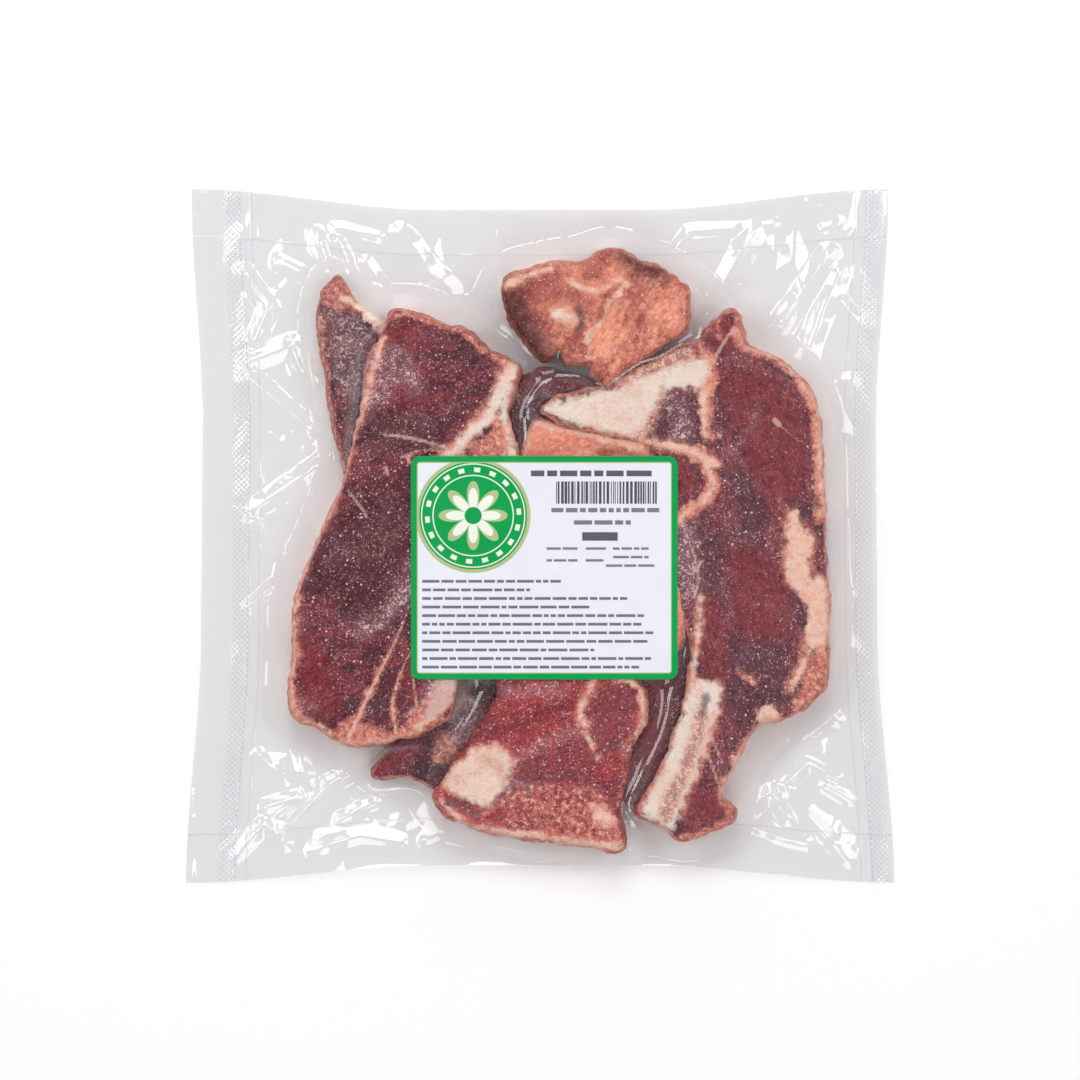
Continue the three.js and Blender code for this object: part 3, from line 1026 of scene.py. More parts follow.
@dataclass
class Pouch:
    """The film bag: a square sheet over the meat and one under it, sealed along four sides."""

    half_width_top: float = 147.7
    half_width_bottom: float = 150.2
    half_height: float = 147.1
    drawn_in: dict[str, float] = field(
        default_factory=lambda: {"left": 5.6, "right": 6.3, "top": 8.9, "bottom": 7.6}
    )
    edge_lift: dict[str, float] = field(
        default_factory=lambda: {"left": 2.6, "right": 3.0, "top": 4.0, "bottom": 7.0}
    )
    flat_half: float = 100.0
    flare_start: float = 0.3
    sheet_gap: float = 0.35
    right_seal_shift: float = 11.5
    vacuum_pull: float = 0.22
    cells: int = 256
    clearance: float = 0.35
    creases: list[Crease] = field(default_factory=list)
    crumples: list[Crumple] = field(default_factory=list)
    finish: FilmFinish = FilmFinish()

    COARSE_PITCH = 2.5
    COARSE_ROUNDS = 400
    FINE_ROUNDS = 60
    FOLD_ROUNDS = 36
    RIM_GAP = 0.06
    SLACK = 0.006
    FOLD_PULL = 0.004
    FOLLOW = 0.45
    OVER_SLOPES = 1.3

    def bowed(self, share: np.ndarray) -> np.ndarray:
        """How much of its pull a side shows at a share of its half length."""
        return 1 - ease(np.abs(share), self.flare_start, 1.0)

    def grid(self, cells: int) -> np.ndarray:
        """Lay out the sheet's places.

        Args:
            cells: How many cells a side has.

        Returns:
            The places, one row each, row by row from the lowest Y.
        """
        line = np.linspace(-1, 1, cells + 1)
        across, up = (axis.ravel() for axis in np.meshgrid(line, line))
        half = self.half_width_bottom + (self.half_width_top - self.half_width_bottom) * (up + 1) / 2
        side = np.where(across < 0, self.drawn_in["left"], self.drawn_in["right"])
        end = np.where(up < 0, self.drawn_in["bottom"], self.drawn_in["top"])
        x = across * (half - side * self.bowed(up))
        y = up * (self.half_height - end * self.bowed(across))
        return np.stack([x, y], axis=1)

    def underside(self, places: np.ndarray) -> np.ndarray:
        """The height of the lower sheet: flat under the meat, rising to the middle of each side.

        Args:
            places: The places, one row each.

        Returns:
            The height at each place.
        """
        x, y = places[:, 0], places[:, 1]
        across, up = x / self.half_width_top, y / self.half_height
        out_x = ease(np.abs(x), self.flat_half, self.half_width_top)
        out_y = ease(np.abs(y), self.flat_half, self.half_height)
        side = np.where(x < 0, self.edge_lift["left"], self.edge_lift["right"])
        end = np.where(y < 0, self.edge_lift["bottom"], self.edge_lift["top"])
        return np.maximum(side * out_x * self.bowed(up), end * out_y * self.bowed(across))

    def floor(self, places: np.ndarray, steaks: list[Steak]) -> np.ndarray:
        """What the upper sheet rests on: the meat or the lower sheet.

        Args:
            places: The places, one row each.
            steaks: The meat in the pouch.

        Returns:
            The height at each place.
        """
        floor = self.underside(places) + self.sheet_gap
        for steak in steaks:
            floor = np.maximum(floor, steak.top_heights(places) + self.clearance)
        return floor

    def drape(self, steaks: list[Steak]) -> HeightMap:
        """The smooth settled film on a coarse grid.

        Args:
            steaks: The meat in the pouch.

        Returns:
            The film's heights.
        """
        places = HeightMap.places(self.COARSE_PITCH)
        floor = HeightMap.over(self.floor(places, steaks), self.COARSE_PITCH)
        pull = self.vacuum_pull * self.COARSE_PITCH**2
        return HeightMap(settle(floor.heights, floor.heights, pull, self.COARSE_ROUNDS), self.COARSE_PITCH)

    def wrinkles(self, places: np.ndarray, steaks: list[Steak]) -> np.ndarray:
        """How far folds and facets lift the loose film.

        Args:
            places: The places, one row each.
            steaks: The meat, on which the film is smooth.

        Returns:
            The lift at each place.
        """
        lift = np.zeros(len(places))
        for crease in self.creases:
            lift = np.maximum(lift, crease.rise(places))
        for crumple in self.crumples:
            lift += crumple.rise(places)
        inside = 0.3 + 0.7 * ease(self.edge_distance(places), 6.0, 24.0)
        return lift * inside * self.looseness(places, steaks)

    def lower_sheet(self, places: np.ndarray, wrinkles: np.ndarray) -> np.ndarray:
        """The lower sheet's height, which follows the upper one's wrinkles wholly at the rim."""
        follow = 1 - (1 - self.FOLLOW) * ease(self.edge_distance(places), 1.0, 16.0)
        return self.underside(places) + wrinkles * follow

    def upper_sheet(self, steaks: list[Steak], drape: HeightMap) -> np.ndarray:
        """Fold the upper sheet.

        Args:
            steaks: The meat that it lies on.
            drape: The smooth settled film.

        Returns:
            The sheet's points, in rows and columns.
        """
        side = self.cells + 1
        places = self.grid(self.cells)
        wrinkles = self.wrinkles(places, steaks)
        gap = self.RIM_GAP + (self.sheet_gap - self.RIM_GAP) * ease(self.edge_distance(places), 0.5, 3.0)
        floor = np.maximum(self.floor(places, steaks), self.lower_sheet(places, wrinkles) + gap)
        floor = np.where(self.edge_distance(places) < 3.0, self.lower_sheet(places, wrinkles) + gap, floor)
        floor = floor.reshape(side, side)
        pitch = 2 * self.half_width_top / self.cells
        start = drape.at(places).reshape(side, side)
        smooth = settle(floor, start, self.vacuum_pull * pitch**2, self.FINE_ROUNDS)
        height = np.maximum(smooth, floor + ((1 - self.FOLLOW) * wrinkles).reshape(side, side))
        height += (wrinkles * self.OVER_SLOPES).reshape(side, side) * ease(smooth - floor, 0.3, 2.0)
        rim = self.edge_distance(places).reshape(side, side) < 0.1
        points = np.dstack([places.reshape(side, side, 2), np.where(rim, floor, height)])
        spare = self.looseness(places, steaks) * ease(self.edge_distance(places), 4.0, 20.0)
        slack = (1 + self.SLACK * spare).reshape(side, side)
        return fold_sheet(points, floor, slack, self.FOLD_ROUNDS, self.FOLD_PULL)

    def looseness(self, places: np.ndarray, steaks: list[Steak]) -> np.ndarray:
        """How free the film is to crumple: 0 on the meat, 1 away from it.

        Args:
            places: The places, one row each.
            steaks: The meat in the pouch.

        Returns:
            The freedom at each place.
        """
        depth = np.full(len(places), FAR_OUTSIDE)
        for steak in steaks:
            depth = np.maximum(depth, steak.depth_at(places))
        return 1 - ease(depth, -5.0, -0.8)

    def edge_distance(self, places: np.ndarray) -> np.ndarray:
        """How far places lie from the nearest side of the pouch.

        Args:
            places: The places, one row each.

        Returns:
            The distance at each place.
        """
        sides = self.half_width_top - np.abs(places[:, 0])
        ends = self.half_height - np.abs(places[:, 1])
        return np.maximum(np.minimum(sides, ends), 0)

    def build(self, steaks: list[Steak], drape: HeightMap) -> bpy.types.Object:
        """Make the bag as one closed skin.

        Args:
            steaks: The meat inside.
            drape: The smooth settled film.

        Returns:
            The finished object.
        """
        half = self.cells // 2
        upper = self.upper_sheet(steaks, drape).reshape(-1, 3)
        flat = self.grid(half)
        lower = np.column_stack([flat, self.lower_sheet(flat, self.wrinkles(flat, steaks))])
        faces = grid_faces(self.cells, 0, False) + grid_faces(half, len(upper), True)
        top_loop = border_loop(self.cells)
        low_loop = [place + len(upper) for place in border_loop(half)]
        for index, start in enumerate(low_loop):
            end = low_loop[(index + 1) % len(low_loop)]
            first, middle, last = (top_loop[(2 * index + k) % len(top_loop)] for k in range(3))
            faces += [(start, end, middle), (start, middle, first), (end, last, middle)]
        film = new_piece("pouch_film", np.vstack([upper, lower]), faces)
        bpy.ops.object.select_all(action="DESELECT")
        film.select_set(True)
        bpy.context.view_layer.objects.active = film
        bpy.ops.object.shade_smooth_by_angle(angle=math.radians(50))
        self.keep_seal_places(film, [self.cells, half])
        self.keep_cling(film, upper, flat, steaks)
        film.data.materials.append(self.finish.material())
        return film

    def keep_cling(
        self, film: bpy.types.Object, upper: np.ndarray, lower: np.ndarray, steaks: list[Steak]
    ) -> None:
        """Keep where the film clings to the meat.

        Args:
            film: The film.
            upper: The upper sheet's points.
            lower: The lower sheet's places.
            steaks: The meat inside.
        """
        top = np.full(len(upper), FAR_OUTSIDE)
        over = np.full(len(lower), FAR_OUTSIDE)
        for steak in steaks:
            top = np.maximum(top, steak.top_heights(upper[:, :2]))
            over = np.maximum(over, steak.depth_at(lower))
        cling = np.concatenate([1 - ease(upper[:, 2] - top, 0.6, 2.0), ease(over, -0.5, 2.0)])
        keep(film, "cling", cling)

    def keep_seal_places(self, film: bpy.types.Object, sheets: list[int]) -> None:
        """Keep how far each point of the flat bag lies from its nearest side and end, and how far up.

        Args:
            film: The film.
            sheets: How many cells each sheet's side has, in the order of the film's points.
        """
        places = {"from_side": [], "from_end": [], "up_side": []}
        for cells in sheets:
            line = np.linspace(-self.half_width_bottom, self.half_width_bottom, cells + 1)
            x, y = (axis.ravel() for axis in np.meshgrid(line, line))
            places["from_side"].append(self.half_width_bottom - np.abs(x) + self.right_seal_shift * (x > 0))
            places["from_end"].append(self.half_width_bottom - np.abs(y))
            places["up_side"].append(y)
        for name, values in places.items():
            keep(film, name, np.concatenate(values))


def fold_sheet(
    points: np.ndarray, floor: np.ndarray, slack: np.ndarray, rounds: int, pull: float
) -> np.ndarray:
    """Let a sheet with spare length buckle over a floor, its rim held.

    Args:
        points: The sheet's points, in rows and columns.
        floor: The least height at each point.
        slack: How much longer than now the sheet is at each point.
        rounds: How many rounds it gets.
        pull: How far the vacuum pulls it down in each round.

    Returns:
        The folded sheet's points.
    """
    sheet = points.copy()
    held = points.copy()
    steps = [(0, 1, 0.5), (1, 0, 0.5), (1, 1, 0.3), (1, -1, 0.3)]
    pairs = []
    for down, right, give in steps:
        for parity in (0, 1):
            pairs.append((*paired(sheet.shape, down, right, parity), give))
    rests = []
    for first, second, _ in pairs:
        length = np.linalg.norm(sheet[second] - sheet[first], axis=2)
        rests.append(length * (slack[first[:2]] + slack[second[:2]]) / 2)
    for _ in range(rounds):
        sheet[..., 2] -= pull
        for (first, second, give), rest in zip(pairs, rests):
            gap = sheet[second] - sheet[first]
            length = np.linalg.norm(gap, axis=2)
            move = gap * (give * (length - rest) / np.maximum(length, 1e-6))[..., None]
            sheet[first] += move
            sheet[second] -= move
        sheet[..., 2] = np.maximum(sheet[..., 2], floor)
        for rim in ((0, slice(None)), (-1, slice(None)), (slice(None), 0), (slice(None), -1)):
            sheet[rim] = held[rim]
    return sheet


def paired(shape: tuple[int, ...], down: int, right: int, parity: int) -> tuple[tuple, tuple]:
    """Pick every other pair of neighbours in one direction, so that no point is in two pairs.

    Args:
        shape: The sheet's shape.
        down: Rows from the first to the second of a pair.
        right: Columns from the first to the second of a pair.
        parity: Which half of the pairs, 0 or 1.

    Returns:
        The slices of the first and of the second points.
    """
    rows, columns = shape[0], shape[1]
    if down:
        count = (rows - parity) // 2
        top = slice(parity, parity + 2 * count - 1, 2)
        low = slice(parity + 1, parity + 2 * count, 2)
        if right > 0:
            return (top, slice(0, columns - 1)), (low, slice(1, columns))
        if right < 0:
            return (top, slice(1, columns)), (low, slice(0, columns - 1))
        return (top, slice(None)), (low, slice(None))
    count = (columns - parity) // 2
    left = slice(parity, parity + 2 * count - 1, 2)
    right_side = slice(parity + 1, parity + 2 * count, 2)
    return (slice(None), left), (slice(None), right_side)


def grid_faces(cells: int, shift: int, turned: bool) -> list[tuple[int, ...]]:
    """List a square grid's faces.

    Args:
        cells: How many cells a side has.
        shift: The number of the grid's first point.
        turned: Whether the faces look down.

    Returns:
        The faces.
    """
    faces = []
    for row in range(cells):
        for column in range(cells):
            a = shift + row * (cells + 1) + column
            face = (a, a + 1, a + cells + 2, a + cells + 1)
            faces.append(face[::-1] if turned else face)
    return faces


def border_loop(cells: int) -> list[int]:
    """The numbers of a square grid's border points, once round, anticlockwise from above.

    Args:
        cells: How many cells the grid has along a side.

    Returns:
        The points' numbers in order.
    """
    row = cells + 1
    loop = list(range(cells))
    loop += [step * row + cells for step in range(cells)]
    loop += [cells * row + step for step in range(cells, 0, -1)]
    return loop + [step * row for step in range(cells, 0, -1)]


@dataclass(frozen=True)
class LabelFinish:
    """Coated paper with a green border and a round green badge with a plain rosette."""

    centre: Place
    half: Place
    corner: float
    name: str = "label_paper"
    paper: tuple[int, int, int] = (230, 231, 240)
    green: tuple[int, int, int] = (0, 156, 76)
    olive: tuple[int, int, int] = (178, 190, 140)
    cream: tuple[int, int, int] = (232, 240, 226)
    badge: Place = (-30.0, 22.0)
    badge_radius: float = 24.2
    border: float = 2.4

    def material(self) -> bpy.types.Material:
        """Build the material.

        Returns:
            The material, which reads object coordinates.
        """
        paint = Paint(self.name)
        x, y = self.paper_place(paint)
        colour = self.badge_colour(paint, x, y)
        rim = self.rim_depth(paint, x, y)
        line = 1 - paint.ease(rim, self.border + 0.45, self.border + 0.6)
        colour = paint.mix(line, colour, tint(*self.olive))
        border = 1 - paint.ease(rim, self.border, self.border + 0.15)
        colour = paint.mix(border, colour, tint(*self.green))
        mottle = paint.noise(paint.place(), 9.0, 3.0)
        colour = paint.shade(colour, 0.97 + mottle * 0.06)
        sockets = {
            "Base Color": colour,
            "Roughness": 0.42 + mottle * 0.1,
            "Normal": paint.bump(paint.noise(paint.place(), 6.0, 3.0), 0.12),
            "Specular IOR Level": 0.15,
        }
        return paint.finish(paint.node("ShaderNodeBsdfPrincipled", {}, sockets))

    def paper_place(self, paint: Paint) -> tuple[Wire, Wire]:
        """The place on the paper, in millimetres from its centre.

        Args:
            paint: The material in the making.

        Returns:
            X and Y on the paper.
        """
        split = paint.node("ShaderNodeSeparateXYZ", {}, {0: paint.place()}, 0)
        up = Wire(paint, split.socket.node.outputs[1])
        return split / MM - self.centre[0], up / MM - self.centre[1]

    def rim_depth(self, paint: Paint, x: Wire, y: Wire) -> Wire:
        """How far a place lies inside the paper's rounded edge.

        Args:
            paint: The material in the making.
            x: X on the paper.
            y: Y on the paper.

        Returns:
            Millimetres inside, below 0 outside.
        """
        side = paint.math("ABSOLUTE", x) - (self.half[0] - self.corner)
        end = paint.math("ABSOLUTE", y) - (self.half[1] - self.corner)
        over_side = paint.math("MAXIMUM", side, 0.0)
        over_end = paint.math("MAXIMUM", end, 0.0)
        beyond = paint.math("SQRT", over_side * over_side + over_end * over_end)
        within = paint.math("MINIMUM", paint.math("MAXIMUM", side, end), 0.0)
        return self.corner - beyond - within

    def badge_colour(self, paint: Paint, x: Wire, y: Wire) -> Wire:
        """The paper's colour with the badge on it: rings, a wreath of petals and a rosette.

        Args:
            paint: The material in the making.
            x: Millimetres to the right of the paper's centre.
            y: Millimetres above it.

        Returns:
            The colour.
        """
        across = x - self.badge[0]
        up = y - self.badge[1]
        radius = paint.math("SQRT", across * across + up * up)
        turn = paint.math("ARCTAN2", up, across)
        colour = paint.mix(self.disc(paint, radius, self.badge_radius), tint(*self.paper), tint(*self.olive))
        colour = paint.mix(self.disc(paint, radius, self.badge_radius * 0.94), colour, tint(*self.green))
        wreath = paint.math("SINE", turn * 18.0) * 0.5 + 0.5
        band = 1 - paint.ease(paint.math("ABSOLUTE", radius - self.badge_radius * 0.8), 0.8, 1.1)
        colour = paint.mix(band * paint.ease(wreath, 0.62, 0.72), colour, tint(*self.cream))
        for ring in (0.9, 0.7):
            line = 1 - paint.ease(paint.math("ABSOLUTE", radius - self.badge_radius * ring), 0.16, 0.34)
            colour = paint.mix(line, colour, tint(*self.cream))
        petals = paint.math("ABSOLUTE", paint.math("COSINE", turn * 4.0))
        reach = self.badge_radius * (0.22 + petals * 0.38)
        colour = paint.mix(1 - paint.ease(radius - reach, -0.2, 0.2), colour, tint(*self.olive))
        reach = self.badge_radius * (0.14 + petals * 0.34)
        colour = paint.mix(1 - paint.ease(radius - reach, -0.2, 0.2), colour, tint(*self.cream))
        return paint.mix(self.disc(paint, radius, self.badge_radius * 0.15), colour, tint(*self.green))

    def disc(self, paint: Paint, radius: Wire, size: float) -> Wire:
        """A mask that is 1 inside a disc."""
        return 1 - paint.ease(radius, size - 0.12, size + 0.12)


@dataclass(frozen=True)
class InkFinish:
    """Flat print, whose darkness is kept on the mesh."""

    name: str = "print_ink"
    ink: tuple[int, int, int] = (24, 22, 52)
    thin: tuple[int, int, int] = (204, 204, 218)

    def material(self) -> bpy.types.Material:
        """Build the material.

        Returns:
            The material, which reads the weight kept on the mesh.
        """
        paint = Paint(self.name)
        wear = paint.noise(paint.place(), 0.7, 2.0) * 0.16
        colour = paint.mix(paint.attribute("weight") - wear, tint(*self.thin), tint(*self.ink))
        sockets = {"Base Color": colour, "Roughness": 0.5}
        return paint.finish(paint.node("ShaderNodeBsdfPrincipled", {}, sockets))


@dataclass(frozen=True)
class Tile:
    """A flat tile of print, in millimetres about the paper's centre, and how dark its ink is."""

    left: float
    low: float
    right: float
    high: float
    weight: float = 1.0

    STEP = 1.2

    def parts(self) -> list["Tile"]:
        """Cut the tile into small parts that can follow the paper's bends.

        Returns:
            The parts, column by column.
        """
        columns = math.ceil((self.right - self.left) / self.STEP)
        rows = math.ceil((self.high - self.low) / self.STEP)
        stops = [self.left + (self.right - self.left) * step / columns for step in range(columns + 1)]
        levels = [self.low + (self.high - self.low) * step / rows for step in range(rows + 1)]
        pairs = [(across, up) for across in zip(stops, stops[1:]) for up in zip(levels, levels[1:])]
        return [Tile(x0, y0, x1, y1, self.weight) for (x0, x1), (y0, y1) in pairs]

    def corners(self) -> list[Place]:
        """The tile's corners, anticlockwise."""
        low = [(self.left, self.low), (self.right, self.low)]
        return low + [(self.right, self.high), (self.left, self.high)]


@dataclass
class Label:
    """The paper label on top of the pouch, with its border, badge, stripes and rows of bars."""

    centre: Place = (1.8, -13.4)
    width: float = 112.5
    height: float = 94.2
    corner: float = 3.8
    thickness: float = 0.25
    clearance: float = 0.25
    paper_pull: float = 0.006
    pitch: float = 1.0

    INK_PROUD = 0.07
    ROUNDS = 400
    SEED = 3

    def settle_over(self, film: HeightMap) -> HeightMap:
        """The paper's height over the film."""
        pull = self.paper_pull * film.pitch**2
        return HeightMap(settle(film.heights, film.heights, pull, self.ROUNDS), film.pitch)

    def build(self, sheet: HeightMap) -> bpy.types.Object:
        """Model the paper.

        Args:
            sheet: The height that the paper lies at.

        Returns:
            The finished object.
        """
        bpy.ops.object.select_all(action="DESELECT")
        across = int(self.width / self.pitch)
        up = int(self.height / self.pitch)
        bpy.ops.mesh.primitive_grid_add(x_subdivisions=across, y_subdivisions=up, size=1)
        paper = bpy.context.active_object
        paper.name = "label_paper"
        points = read_points(paper)[:, :2] * MM * (self.width, self.height)
        flat = self.rounded(points) + self.centre
        write_points(paper, np.column_stack([flat, sheet.at(flat) + self.clearance]))
        wall = paper.modifiers.new("paper", "SOLIDIFY")
        wall.thickness = self.thickness * MM
        wall.offset = 1.0
        bpy.ops.object.modifier_apply(modifier=wall.name)
        bpy.ops.object.shade_smooth_by_angle(angle=math.radians(40))
        finish = LabelFinish(self.centre, (self.width / 2, self.height / 2), self.corner)
        paper.data.materials.append(finish.material())
        return paper

    def rounded(self, points: np.ndarray) -> np.ndarray:
        """Draw the places in each corner in to its arc.

        Args:
            points: Places on the square-cornered sheet, about its centre.

        Returns:
            The places on the round-cornered sheet.
        """
        inner = np.array([self.width / 2 - self.corner, self.height / 2 - self.corner])
        over = np.maximum(np.abs(points) - inner, 0)
        reach = np.maximum(over[:, 0], over[:, 1])
        length = np.hypot(over[:, 0], over[:, 1])
        scale = np.where(length > 0, reach / np.maximum(length, 1e-9), 1)
        return np.sign(points) * (np.minimum(np.abs(points), inner) + over * scale[:, None])

    def print_ink(self, sheet: HeightMap) -> bpy.types.Object:
        """Model the dark print as thin tiles just above the paper.

        Args:
            sheet: The height that the paper lies at.

        Returns:
            The finished object.
        """
        tiles = [part for tile in self.stripes() + self.all_rows() for part in tile.parts()]
        flat = np.array([corner for tile in tiles for corner in tile.corners()]) + self.centre
        height = sheet.at(flat) + self.clearance + self.thickness + self.INK_PROUD
        faces = [tuple(range(4 * tile, 4 * tile + 4)) for tile in range(len(tiles))]
        ink = new_piece("label_print", np.column_stack([flat, height]), faces)
        keep(ink, "weight", np.repeat([tile.weight for tile in tiles], 4))
        ink.data.materials.append(InkFinish().material())
        return ink

    def stripes(self) -> list[Tile]:
        """Plain upright stripes of uneven width.

        Returns:
            The stripes.
        """
        draw = random.Random(self.SEED)
        left, right, low, high = 5.0, 48.9, 27.0, 36.4
        stripes = []
        x = left
        while x < right - 1.2:
            thick = draw.choice((0.36, 0.36, 0.72, 0.72, 1.1))
            stripes.append(Tile(x, low, x + thick, high))
            x += thick + draw.choice((0.34, 0.34, 0.6, 0.7))
        return stripes

    def all_rows(self) -> list[Tile]:
        """All the rows of bars: a heading, a few short rows and a paragraph.

        Returns:
            The bars.
        """
        draw = random.Random(self.SEED + 1)
        rows = self.row(draw, Tile(-5.6, 38.6, 45.3, 41.0, 0.95), 9.0)
        rows += self.row(draw, Tile(3.0, 23.4, 48.5, 25.2, 0.8), 4.0)
        rows += self.row(draw, Tile(12.5, 18.2, 36.5, 20.0, 0.8), 6.0)
        rows += self.row(draw, Tile(16.0, 11.4, 32.0, 15.0, 0.95), 14.0)
        for drop in range(2):
            low = 7.6 - 5.0 * drop
            rows += self.row(draw, Tile(1.0, low, 14.0, low + 1.0, 0.8), 5.0)
            rows += self.row(draw, Tile(17.5, low, 26.0, low + 1.0, 0.8), 8.0)
        for drop in range(3):
            low = 7.6 - 3.6 * drop
            out = 3.0 * (drop == 2)
            rows += self.row(draw, Tile(29.0 - out, low, 44.0 + out, low + 1.0, 0.8), 5.0)
        ends = (7, -6, 35, 19, 42, 41, 46, 45, 21, 45, 40)
        for row, end in enumerate(ends):
            low = -6.3 - 3.62 * row
            rows += self.row(draw, Tile(-51.5, low, end, low + 1.15, 0.85), 5.5)
        return rows

    def row(self, draw: random.Random, whole: Tile, length: float) -> list[Tile]:
        """Break a long tile into plain bars of uneven length, with small gaps.

        Args:
            draw: The source of chance.
            whole: The row's full extent.
            length: The bars' usual length.

        Returns:
            The bars.
        """
        bars = []
        height = whole.high - whole.low
        x = whole.left
        while x < whole.right - height:
            end = min(x + length * draw.uniform(0.35, 1.5), whole.right)
            bars.append(Tile(x, whole.low, end, whole.high, whole.weight))
            x = end + 0.5 + height * 0.3
        return bars


def steak_finishes() -> dict[str, MeatFinish]:
    """The finish of each kind of piece."""
    return {
        # In the dark and frosty finishes the colour for hollows is pale frost.
        "dark": MeatFinish("meat_dark", shadow_and_frost=(208, 174, 166), fibre_turn=0.5),
        "right": MeatFinish("meat_right", muscle=(124, 60, 68), dark=(94, 52, 62), blood_and_shade=(128, 52, 57),
                            fibre_turn=1.9),
        "red": MeatFinish("meat_red", muscle=(160, 56, 60), dark=(134, 60, 68), stain=(136, 58, 60),
                          tallow=(206, 116, 103), bone=(236, 205, 188), marrow=(206, 150, 138),
                          haze=(160, 104, 110), fibre_turn=0.45, band_stretch=5.0),
        # In the brown finish the near-black blood colour paints the shade of the side wall, and the colour
        # for hollows paints the shadow beside the knob.
        "brown": MeatFinish("meat_brown", muscle=(238, 152, 122), dark=(160, 76, 70), blood_and_shade=(56, 14, 22),
                            shadow_and_frost=(92, 70, 74), tallow=(226, 146, 120), haze=(214, 150, 128),
                            fibre_turn=1.0, rim_width=1.0, band_blend=0.16, contrast=0.65),
        "orange": MeatFinish("meat_orange", muscle=(246, 162, 134), dark=(220, 130, 108),
                             blood_and_shade=(116, 44, 50), haze=(214, 150, 128),
                             fibre_turn=0.4, rim_width=1.0, band_blend=0.16, contrast=0.65),
        "frosty": MeatFinish("meat_frosty", muscle=(116, 54, 60), dark=(70, 40, 48), haze=(122, 88, 94),
                             stain=(156, 88, 80), tallow=(216, 138, 120), bone=(248, 232, 214),
                             frost=(206, 178, 182), shadow_and_frost=(196, 173, 171),
                             frost_amount=0.04, fibre_turn=1.2, rim_width=1.0),
    }


